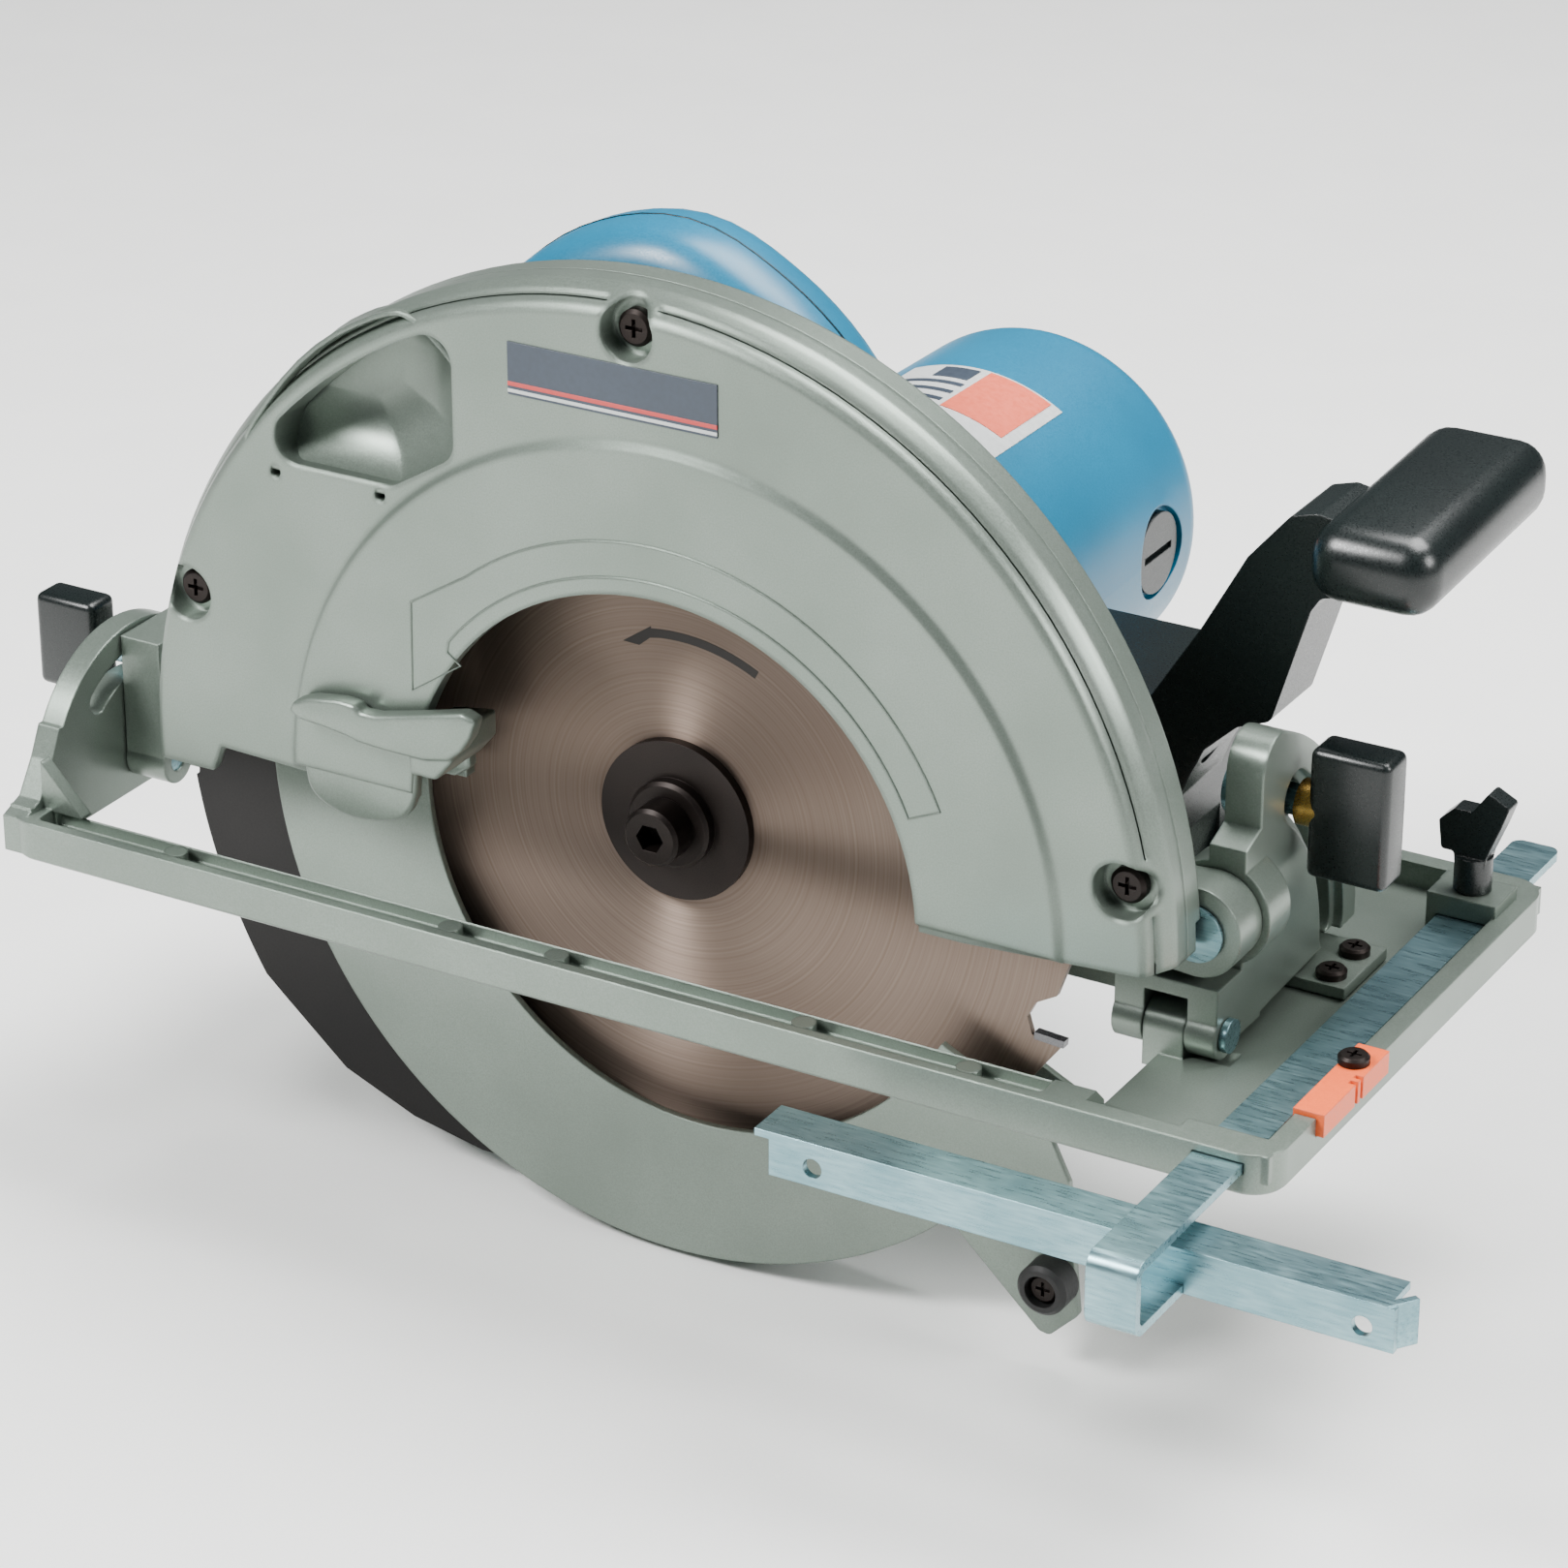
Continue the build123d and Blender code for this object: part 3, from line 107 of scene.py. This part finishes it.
def surface(name, light, dark, metallic, roughness, grain_mm, relief_mm, edge_mm=0.5,
            drift_mm=40.0, stretch=(1, 1, 1), coat=0.0):
    """A finish with slow colour drift, grain in gloss and relief, and softened edges."""
    material = bpy.data.materials.new(name)
    material.use_nodes = True
    tree = material.node_tree
    shader = tree.nodes["Principled BSDF"]
    place = add_node(tree, "ShaderNodeTexCoord").outputs["Object"]
    laid = add_node(tree, "ShaderNodeMapping", {"Vector": place, "Scale": stretch}).outputs[0]
    drift = add_node(tree, "ShaderNodeTexNoise",
                     {"Vector": place, "Scale": 1000 / drift_mm, "Detail": 5.0})
    grain = add_node(tree, "ShaderNodeTexNoise",
                     {"Vector": laid, "Scale": 1000 / grain_mm, "Detail": 2.0})
    blend = add_node(tree, "ShaderNodeMath", {0: drift.outputs["Fac"], 1: grain.outputs["Fac"]},
                     operation="MULTIPLY")
    share = add_node(tree, "ShaderNodeMapRange", {
        "Value": blend.outputs[0], "From Min": 0.12, "From Max": 0.42})
    tone = add_node(tree, "ShaderNodeMix", {
        "Factor": share.outputs[0], "A": linear(dark), "B": linear(light)}, data_type="RGBA")
    gloss = add_node(tree, "ShaderNodeMapRange", {
        "Value": grain.outputs["Fac"], "From Min": 0.3, "From Max": 0.7,
        "To Min": roughness - 0.05, "To Max": roughness + 0.06})
    eased = add_node(tree, "ShaderNodeBevel", {"Radius": edge_mm / 1000}, samples=4)
    bump = add_node(tree, "ShaderNodeBump", {
        "Height": grain.outputs["Fac"], "Distance": relief_mm / 1000, "Strength": 0.6,
        "Normal": eased.outputs[0]})
    tree.links.new(tone.outputs[2], shader.inputs["Base Color"])
    tree.links.new(gloss.outputs[0], shader.inputs["Roughness"])
    tree.links.new(bump.outputs[0], shader.inputs["Normal"])
    shader.inputs["Metallic"].default_value = metallic
    shader.inputs["Coat Weight"].default_value = coat
    shader.inputs["Coat Roughness"].default_value = 0.2
    return material


floor_material = surface("matt_paper_sweep", "F4F4F2", "EFEFED", 0.0, 0.8, 0.8, 0.02)
stage_mesh = bmesh.new()
bmesh.ops.create_grid(stage_mesh, x_segments=2, y_segments=2, size=4.0)
bmesh.ops.translate(stage_mesh, verts=stage_mesh.verts, vec=(0, 0, cad_box[0][2] - 0.002))
floor_data = bpy.data.meshes.new("floor")
stage_mesh.to_mesh(floor_data)
stage_mesh.free()
floor = bpy.data.objects.new("floor", floor_data)
floor.data.materials.append(floor_material)
bpy.context.scene.collection.objects.link(floor)


# ---- Sole plate, frame, guard, screws, rip guide and sight.
# Die-cast aluminium under a sprayed grey-green silver enamel, which leaves a fine sparkle
# and soft edges. Screws and flanges are black oxide steel, the rip guide and pins are
# zinc-plated steel, and the sight is moulded orange nylon.
def dress(material, *names):
    """Gives CAD nodes a finish through their material slots."""
    for name in names:
        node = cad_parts[name]
        if not node.data.materials:
            node.data.materials.append(material)
        for slot in node.material_slots:
            slot.material = material


silver_enamel = surface("metallic_silver_enamel_sprayed", "7F8A81", "6D786F", 0.6, 0.34,
                        0.45, 0.012, edge_mm=0.9, coat=0.15)
dress(silver_enamel, "sole_plate", "front_bracket", "front_tilt_plate", "depth_guide",
      "blade_case", "lower_guard")
black_oxide = surface("black_oxide_steel_turned", "2C2522", "1B1614", 0.75, 0.42, 0.3, 0.01,
                      edge_mm=0.25)
dress(black_oxide, "plate_screws", "case_screws", "handle_screws", "guard_screws",
      "socket_bolts", "inner_flange", "outer_flange", "blade_bolt")
zinc = surface("blue_zinc_plated_steel_rolled", "8FAFB5", "6B8D95", 0.9, 0.3, 0.9, 0.008,
               edge_mm=0.4, stretch=(0.12, 1, 1), drift_mm=18)
dress(zinc, "guide_bar", "guide_fence", "front_stud", "rear_stud", "hinge_pins", "pivot_pin",
      "shaft_lock", "guard_ring", "guard_spring")
orange_nylon = surface("orange_nylon_moulded", "E8622C", "DC5622", 0.0, 0.42, 0.6, 0.01)
dress(orange_nylon, "sight_guide")


# ---- Blade case and its cover.
# Two thin aluminium castings screwed together, in the sole plate's enamel; the cover's
# edges are broader. The gear cover behind them is left as cast.
cover_enamel = surface("metallic_silver_enamel_on_cover", "7F8A81", "6D786F", 0.6, 0.34,
                       0.45, 0.012, edge_mm=2.2, coat=0.15)
dress(cover_enamel, "blade_case_cover")
raw_casting = surface("aluminium_as_cast", "B4B6B5", "9A9D9C", 0.9, 0.5, 0.7, 0.02)
dress(raw_casting, "gear_cover")


def mm(x, y, z):
    """A point given in millimetres from the blade's axis, as a place in the frame."""
    return Vector(((x - 160.0) / 1000, y / 1000, (z + 32.5) / 1000))


def make_piece(name, shape, material, body, replaced=()):
    """Turns a bmesh into a named piece that rides on a body."""
    data = bpy.data.meshes.new(name)
    bmesh.ops.recalc_face_normals(shape, faces=shape.faces)
    shape.to_mesh(data)
    shape.free()
    data.shade_smooth()
    data.set_sharp_from_angle(angle=radians(38))
    data.materials.append(material)
    piece = bpy.data.objects.new(name, data)
    bpy.context.scene.collection.objects.link(piece)
    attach(piece, body)
    if replaced:
        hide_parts(*replaced)
    return piece


def prism(shape, outline, near, far):
    """Adds a prism: an outline in x and z, drawn out from y near to y far."""
    rim = [shape.verts.new(mm(x, near, z)) for x, z in outline]
    face = shape.faces.new(rim)
    grown = bmesh.ops.extrude_face_region(shape, geom=[face])
    bmesh.ops.translate(shape, vec=(0, (far - near) / 1000, 0),
                        verts=[v for v in grown["geom"] if isinstance(v, bmesh.types.BMVert)])


def ease(shape, width, segments=3, angle=30):
    """Rounds every edge sharper than an angle."""
    edges = [e for e in shape.edges if len(e.link_faces) == 2
             and e.calc_face_angle(0) > radians(angle)]
    bmesh.ops.bevel(shape, geom=edges, offset=width / 1000, offset_type="OFFSET",
                    segments=segments, profile=0.5, affect="EDGES", clamp_overlap=True,
                    material=-1)


def rounded(points, passes=3):
    """Cuts a closed outline's corners again and again until it flows."""
    for _ in range(passes):
        cut = []
        for a, b in zip(points, points[1:] + points[:1]):
            cut.append((a[0] * 0.75 + b[0] * 0.25, a[1] * 0.75 + b[1] * 0.25))
            cut.append((a[0] * 0.25 + b[0] * 0.75, a[1] * 0.25 + b[1] * 0.75))
        points = cut
    return points


def join(shape, rings):
    """Skins a row of rings that have equal numbers of corners."""
    for ring, following in zip(rings, rings[1:]):
        for i in range(len(ring)):
            j = (i + 1) % len(ring)
            shape.faces.new((ring[i], ring[j], following[j], following[i]))


# Dust chute: a scooped duct cast behind the cover's mouth; it narrows towards the rear.
mouth = rounded([(-111, 87), (-110, 85.5), (-68, 85.5), (-66, 86), (-49.5, 97), (-48, 99),
                 (-48, 118), (-49, 122), (-60, 131.5), (-68, 132.5), (-92, 118), (-112, 92)], 2)
chute = bmesh.new()
middle = (-76.0, 108.0)
rings = []
for y, scale, shift in ((-26.9, 1.03, 0), (-24.5, 0.99, 0), (-21, 0.93, -1.5), (-17, 0.84, -4),
                        (-13.5, 0.70, -8), (-11.5, 0.45, -12)):
    rings.append([chute.verts.new(mm(middle[0] + (x - middle[0]) * scale + shift * 0.8, y,
                                     middle[1] + (z - middle[1]) * scale - shift * 0.4))
                  for x, z in mouth])
join(chute, rings)
chute.faces.new(rings[-1])
bmesh.ops.recalc_face_normals(chute, faces=chute.faces)
bmesh.ops.solidify(chute, geom=chute.faces[:], thickness=-0.0012)
make_piece("chute_scoop", chute, silver_enamel, "saw_head")

# Hand lobe: a raised pad cast on the cover under the guard's lever.
lobe = bmesh.new()
prism(lobe, rounded([(-98, 2), (-96, -6), (-84, -10), (-68, -7), (-63, 0), (-63, 14),
                     (-70, 24), (-90, 24), (-98, 14)], 3), -28.2, -24.5)
ease(lobe, 1.2, 3)
make_piece("cover_lobe", lobe, silver_enamel, "saw_head")

# Guard's thumb lever: a bar with a turned-down root, joined to the guard inside the window.
lever = bmesh.new()
prism(lever, rounded([(-98, 19.5), (-95, 25.5), (-77, 28), (-74.6, 24.6), (-58, 28.6), (-39, 33.6),
                      (-42.5, 23), (-50, 16.4), (-74, 16.4), (-82, 18.4)], 1), -35, -29.8)
prism(lever, [(-61, 11), (-53, 11), (-48, 17), (-48, 24), (-61, 22)], -33.8, -12)
prism(lever, rounded([(-74, 2.6), (-55.5, 2.6), (-55.5, 16), (-74, 16)], 1), -14.5, -10.2)
ease(lever, 1.1, 3)
make_piece("lever_shell", lever, silver_enamel, "guard", ("guard_lever",))

# Direction arrow cast as a fine raised line on the cover's band.
arrow = bpy.data.curves.new("cover_arrow", "CURVE")
arrow.dimensions, arrow.bevel_depth, arrow.bevel_resolution = "3D", 0.00035, 1
window_x, window_z, outer_radius, inner_radius = 10.0, -1.0, 88, 78.5
path = [(window_x + outer_radius * cos(a), window_z + outer_radius * sin(a))
        for a in (radians(24 + 3 * n) for n in range(36))]
path += [(-62.1, 57.0), (-62.4, 32.5), (-47.5, 42.5), (-51.5, 45.5)]
path += [(window_x + inner_radius * cos(a), window_z + inner_radius * sin(a))
         for a in (radians(141 - 3 * n) for n in range(40))]
line = arrow.splines.new("POLY")
line.points.add(len(path) - 1)
for point, (x, z) in zip(line.points, path):
    point.co = (*mm(x, -28.85, z), 1)
line.use_cyclic_u = True
drawn = bpy.data.objects.new("drawn_arrow", arrow)
bpy.context.scene.collection.objects.link(drawn)
bpy.context.view_layer.update()
arrow_mesh = bmesh.new()
arrow_mesh.from_mesh(bpy.data.meshes.new_from_object(drawn))
bpy.data.objects.remove(drawn)
make_piece("cover_arrow", arrow_mesh, silver_enamel, "saw_head")


# ---- Name plate on the cover.
# Printed aluminium foil, glued flat: a slate field over a thin red line and a pale line,
# with no lettering.
foil = dict(metallic=0.1, roughness=0.35, grain_mm=1.5, relief_mm=0.002, edge_mm=0.2)
foil_slate = surface("printed_foil_slate", "39424E", "323A45", **foil)
foil_red = surface("printed_foil_red", "C2413F", "B83A38", **foil)
foil_grey = surface("printed_foil_grey", "C9CCCB", "BCC0BF", **foil)
for plate_name, material, low, high, y in (
        ("cover_plate", foil_slate, 118.6, 132.3, -27.35),
        ("cover_plate_line", foil_red, 120.9, 122.0, -27.45),
        ("cover_plate_foot", foil_grey, 119.2, 120.1, -27.45)):
    plate = bmesh.new()
    prism(plate, [(-32.2, low), (27.5, low), (27.5, high), (-32.2, high)], y, -26.8)
    make_piece(plate_name, plate, material, "saw_head")


# ---- Saw blade, flanges and tips.
# Ground tool-steel plate with circular grinding marks, which spread the light across
# themselves and so turn it into two opposite fans. Tips are brazed carbide.
blade_steel = bpy.data.materials.new("tool_steel_circular_ground")
blade_steel.use_nodes = True
tree = blade_steel.node_tree
shader = tree.nodes["Principled BSDF"]
place = add_node(tree, "ShaderNodeTexCoord").outputs["Object"]
spot = add_node(tree, "ShaderNodeVectorMath", {0: place, 1: mm(0, 0, 0)}, operation="SUBTRACT")
reach = add_node(tree, "ShaderNodeVectorMath", {0: spot.outputs[0]}, operation="LENGTH")
outward = add_node(tree, "ShaderNodeVectorMath", {0: spot.outputs[0], 1: (1, 0, 1)},
                   operation="MULTIPLY")
tangent = add_node(tree, "ShaderNodeVectorTransform", {"Vector": outward.outputs[0]},
                   vector_type="VECTOR", convert_from="OBJECT", convert_to="WORLD")
marks_per_metre = 1400.0
paced = add_node(tree, "ShaderNodeMath", {0: reach.outputs["Value"], 1: marks_per_metre},
                 operation="MULTIPLY")
marks = add_node(tree, "ShaderNodeTexNoise", {
    "W": paced.outputs[0], "Scale": 1.0, "Detail": 4.0}, noise_dimensions="1D")
patch = add_node(tree, "ShaderNodeTexNoise", {"Vector": spot.outputs[0], "Scale": 14.0})
mix = add_node(tree, "ShaderNodeMath", {0: marks.outputs["Fac"], 1: patch.outputs["Fac"]},
               operation="MULTIPLY")
shade = add_node(tree, "ShaderNodeValToRGB", {"Fac": mix.outputs[0]})
deep, pale = shade.color_ramp.elements
deep.position, deep.color = 0.0, linear("66574D")
pale.position, pale.color = 0.6, linear("8C7E74")
rough = add_node(tree, "ShaderNodeMapRange", {
    "Value": marks.outputs["Fac"], "To Min": 0.44, "To Max": 0.52})
scratches = add_node(tree, "ShaderNodeBump", {
    "Height": marks.outputs["Fac"], "Distance": 0.000003, "Strength": 0.2})
tree.links.new(shade.outputs[0], shader.inputs["Base Color"])
tree.links.new(rough.outputs[0], shader.inputs["Roughness"])
tree.links.new(scratches.outputs[0], shader.inputs["Normal"])
tree.links.new(tangent.outputs[0], shader.inputs["Tangent"])
shader.inputs["Metallic"].default_value = 1.0
shader.inputs["Anisotropic"].default_value = 0.92
dress(blade_steel, "saw_blade")
carbide = surface("carbide_ground", "6E6E70", "5A5A5C", 0.9, 0.3, 0.3, 0.005, edge_mm=0.1)
dress(carbide, "carbide_tips")

# Rotation arrow burnt into the blade.
burnt = surface("laser_burnt_steel", "2A2624", "1F1C1A", 0.4, 0.55, 0.5, 0.004, edge_mm=0.1)
mark = bmesh.new()
outer_edge, inner_edge = 51.6, 49.2
arc = [(outer_edge * cos(radians(a)), outer_edge * sin(radians(a))) for a in range(63, 100, 3)]
arc += [(-8.1, 51.6), (-16.5, 45.8), (-11.6, 45.6), (-8.4, 48.3)]
arc += [(inner_edge * cos(radians(a)), inner_edge * sin(radians(a))) for a in range(96, 62, -3)]
prism(mark, arc, -0.95, -0.85)
make_piece("blade_arrow", mark, burnt, "blade_unit")


# ---- Riving knife.
# A curved plate of blackened spring steel, held behind the blade by two socket bolts.
knife_steel = surface("spring_steel_blackened", "1A1817", "0E0D0D", 0.6, 0.35, 0.6, 0.006,
                      edge_mm=0.2)
dress(knife_steel, "riving_knife")


# ---- Motor housing and the small black mouldings.
# The housing is teal glass-filled nylon, moulded with a fine spark-eroded grain. Caps,
# fan and controls are black nylon; the bumper and the cord's sleeve are rubber.
blue_nylon = surface("glass_filled_nylon_blue", "056C8E", "045F7E", 0.0, 0.34, 0.5, 0.012,
                     edge_mm=0.7)
dress(blue_nylon, "motor_housing")
black_nylon = surface("glass_filled_nylon_black", "0E1716", "080E0E", 0.0, 0.3, 0.5, 0.012,
                      edge_mm=0.6)
dress(black_nylon, "brush_caps", "cooling_fan", "switch_body", "trigger", "lock_button",
      "depth_lever")
soft_rubber = surface("rubber_moulded", "141414", "0B0B0B", 0.0, 0.6, 0.8, 0.02)
dress(soft_rubber, "guard_bumper", "cord_gland")


# ---- Main handle: grip, painted seam shade and screws.
# Two teal nylon shells held by three screws. They are drawn as one swept grip with
# squared-off round sections, from the gear housing over the top and back to the motor.
def across_line(line, i):
    """The direction square to a line of points in x and z, at point i."""
    back, ahead = line[max(i - 1, 0)], line[min(i + 1, len(line) - 1)]
    run = Vector((ahead[0] - back[0], 0, ahead[1] - back[1])).normalized()
    return Vector((run.z, 0, -run.x))


stations = [  # x, z, height across the grip, half width
    (14, 44, 60, 16.5), (16, 64, 60, 16.5), (17, 84, 56, 17), (11, 103, 47, 17), (-3, 118, 41, 17),
    (-22, 127, 38, 17), (-44, 122, 36, 17), (-64, 107, 34, 17), (-84, 88, 32, 17),
    (-99, 68, 30, 17), (-102, 50, 27, 17), (-88, 41, 20, 17), (-66, 38, 18, 17),
    (-44, 36, 18, 17), (-30, 34, 20, 17)]
grip = bmesh.new()
sides, squareness, middle_y = 28, 0.72, 39
spine = []
for i in range(len(stations) - 1):
    a, b = stations[i], stations[i + 1]
    before, after = stations[max(i - 1, 0)], stations[min(i + 2, len(stations) - 1)]
    for n in range(5):
        t = n / 5
        spine.append([0.5 * ((2 * q) + (r - p) * t + (2 * p - 5 * q + 4 * r - s) * t * t
                             + (3 * q - p - 3 * r + s) * t ** 3)
                      for p, q, r, s in zip(before, a, b, after)])
spine.append(list(stations[-1]))
loops = []
for i, (x, z, tall, half) in enumerate(spine):
    out = across_line(spine, i)
    loop = []
    for n in range(sides):
        a = 2 * pi * n / sides
        c, s = cos(a), sin(a)
        across = (abs(c) ** squareness) * (1 if c > 0 else -1) * half
        up = (abs(s) ** squareness) * (1 if s > 0 else -1) * tall / 2
        loop.append(grip.verts.new(mm(x + out.x * up, middle_y + across, z + out.z * up)))
    loops.append(loop)
join(grip, loops)
grip.faces.new(loops[0])
grip.faces.new(list(reversed(loops[-1])))
make_piece("main_grip", grip, blue_nylon, "saw_head",
           ("handle_near_half", "handle_far_half"))

# Seam between the shells, drawn as a thin black tube: painted shade standing in for the groove
# where the shells meet. Then the three screws that hold them together.
seam_start, seam_sides = 8, 8
for side, name in ((1, "outer"), (-1, "inner")):
    seam_shade = bmesh.new()
    rows = []
    for i in range(seam_start, len(spine)):
        x, z, tall, _ = spine[i]
        out = across_line(spine, i) * side
        at = mm(x, middle_y, z) + out * (tall / 2000 + 0.00005)
        rows.append([seam_shade.verts.new(at + out * 0.0002 * cos(a) + Vector((0, 0.0003 * sin(a), 0)))
                     for a in (2 * pi * n / seam_sides for n in range(seam_sides))])
    join(seam_shade, rows)
    seam_shade.faces.new(rows[0])
    seam_shade.faces.new(rows[-1])
    # The black here is painted shade of the seam's groove, not a black part of the handle.
    make_piece("handle_seam_painted_shade_" + name, seam_shade, black_nylon, "saw_head")
for i, (x, z) in enumerate(((6, 106), (-92, 78), (-96, 50))):
    screw = bmesh.new()
    bmesh.ops.create_cone(screw, cap_ends=True, segments=32, radius1=0.0038, radius2=0.0038,
                          depth=0.003, matrix=Matrix.Translation(mm(x, 55.2, z))
                          @ Matrix.Rotation(pi / 2, 4, "X"))
    ease(screw, 0.6, 2)
    for turn in (0, pi / 2):
        bmesh.ops.create_cube(screw, size=1, matrix=Matrix.Translation(mm(x, 56.7, z))
                              @ Matrix.Rotation(turn + 0.4, 4, "Y")
                              @ Matrix.Diagonal((0.0042, 0.0003, 0.0009, 1)))
    make_piece("handle_screw_%d" % i, screw, black_oxide, "saw_head",
               ("handle_screws",))


# ---- Rating plate.
# Printed grey foil with an orange-red panel and plain dark bars, without lettering,
# glued round the tapered motor housing's upper front.
def wrapped(name, lift, start, end, near, far, material):
    """A thin plate wrapped round the tapered motor between two angles."""
    motor_x, motor_z, wide_end, taper = 12.2, 30.66, 51.5, 3 / 132
    shape = bmesh.new()
    edge = []
    for y in (near, far):
        radius = wide_end - (y - 46) * taper + lift
        edge.append(shape.verts.new(mm(motor_x + radius * cos(radians(start)), y,
                                       motor_z + radius * sin(radians(start)))))
    shape.edges.new(edge)
    bmesh.ops.spin(shape, geom=shape.verts[:] + shape.edges[:], cent=mm(motor_x, 0, motor_z),
                   axis=(0, -1, 0), angle=radians(end - start), steps=24)
    bmesh.ops.remove_doubles(shape, verts=shape.verts, dist=1e-6)
    bmesh.ops.solidify(shape, geom=shape.faces[:], thickness=0.0004)
    make_piece(name, shape, material, "saw_head")


foil_orange = surface("printed_foil_orange", "E2694F", "D85F45", 0.1, 0.38, 1.5, 0.002,
                      edge_mm=0.2)
wrapped("rating_plate", 0.25, 58, 112, 82, 134, foil_grey)
wrapped("rating_panel", 0.45, 62, 84, 104, 133, foil_orange)
wrapped("rating_bar", 0.45, 87, 99, 124, 132, foil_slate)
for row in range(6):
    wrapped("rating_row_%d" % row, 0.45, 86, 108 - 5 * (row % 3), 119 - 6 * row, 121 - 6 * row,
            foil_slate)


# ---- Front handle.
# A black nylon arm bolted to the gear housing, with a rounded grip across its end that
# rises a little towards the motor's side.
dress(black_nylon, "front_handle_arm")
bar = bmesh.new()
bmesh.ops.create_cube(bar, size=1.0, matrix=Matrix.Translation(mm(168.5, 79, 87))
                      @ Matrix.Diagonal((0.034, 0.078, 0.0205, 1)))
for vert in bar.verts:
    if vert.co.y > 0.08:
        vert.co.z += 0.0035
ease(bar, 8.5, 6)
make_piece("front_grip_shell", bar, black_nylon, "saw_head", ("front_grip",))


# ---- Clamp knobs, wing screw and the metal parts inside.
# Knobs are black nylon paddles moulded over a brass nut and steel studs. Inside are
# ground steel shafts and bearings, stacked laminations, copper windings and carbon brushes.
for knob, body, x0, x1, y, z, wide, tall in (
        ("front_knob", "front_clamp", 159, 180.5, 39.53, 25.1, 12, 35),
        ("rear_knob", "rear_clamp", -205.5, -186, 4.69, 4.59, 11, 27)):
    lump = bmesh.new()
    bmesh.ops.create_cube(lump, size=1.0, matrix=Matrix.Translation(mm((x0 + x1) / 2, y, z))
                          @ Matrix.Diagonal(((x1 - x0) / 1000, wide / 1000, tall / 1000, 1)))
    ease(lump, 2.2, 4)
    make_piece(knob + "_shell", lump, black_nylon, body, (knob,))
brass = surface("brass_turned", "C9A35C", "B08A46", 1.0, 0.28, 0.3, 0.004, edge_mm=0.2)
dress(brass, "front_nut", "brush_holders")
dress(black_nylon, "wing_screw")
bright = surface("steel_ground", "C6C7C9", "AEB0B2", 1.0, 0.25, 0.3, 0.003, edge_mm=0.2)
dress(bright, "spindle", "drive_gear", "armature_shaft", "spindle_front_bearing",
      "spindle_rear_bearing", "armature_front_bearing", "armature_rear_bearing")
sheet_stack = surface("lamination_stack", "55565A", "424347", 0.6, 0.55, 0.8, 0.02)
dress(sheet_stack, "armature_core", "stator_core")
copper = surface("copper_drawn", "C97F55", "B36C44", 1.0, 0.35, 0.4, 0.01)
dress(copper, "commutator", "field_coils")
carbon = surface("carbon_pressed", "2A2A2A", "1F1F1F", 0.0, 0.7, 0.4, 0.01)
dress(carbon, "carbon_brushes")
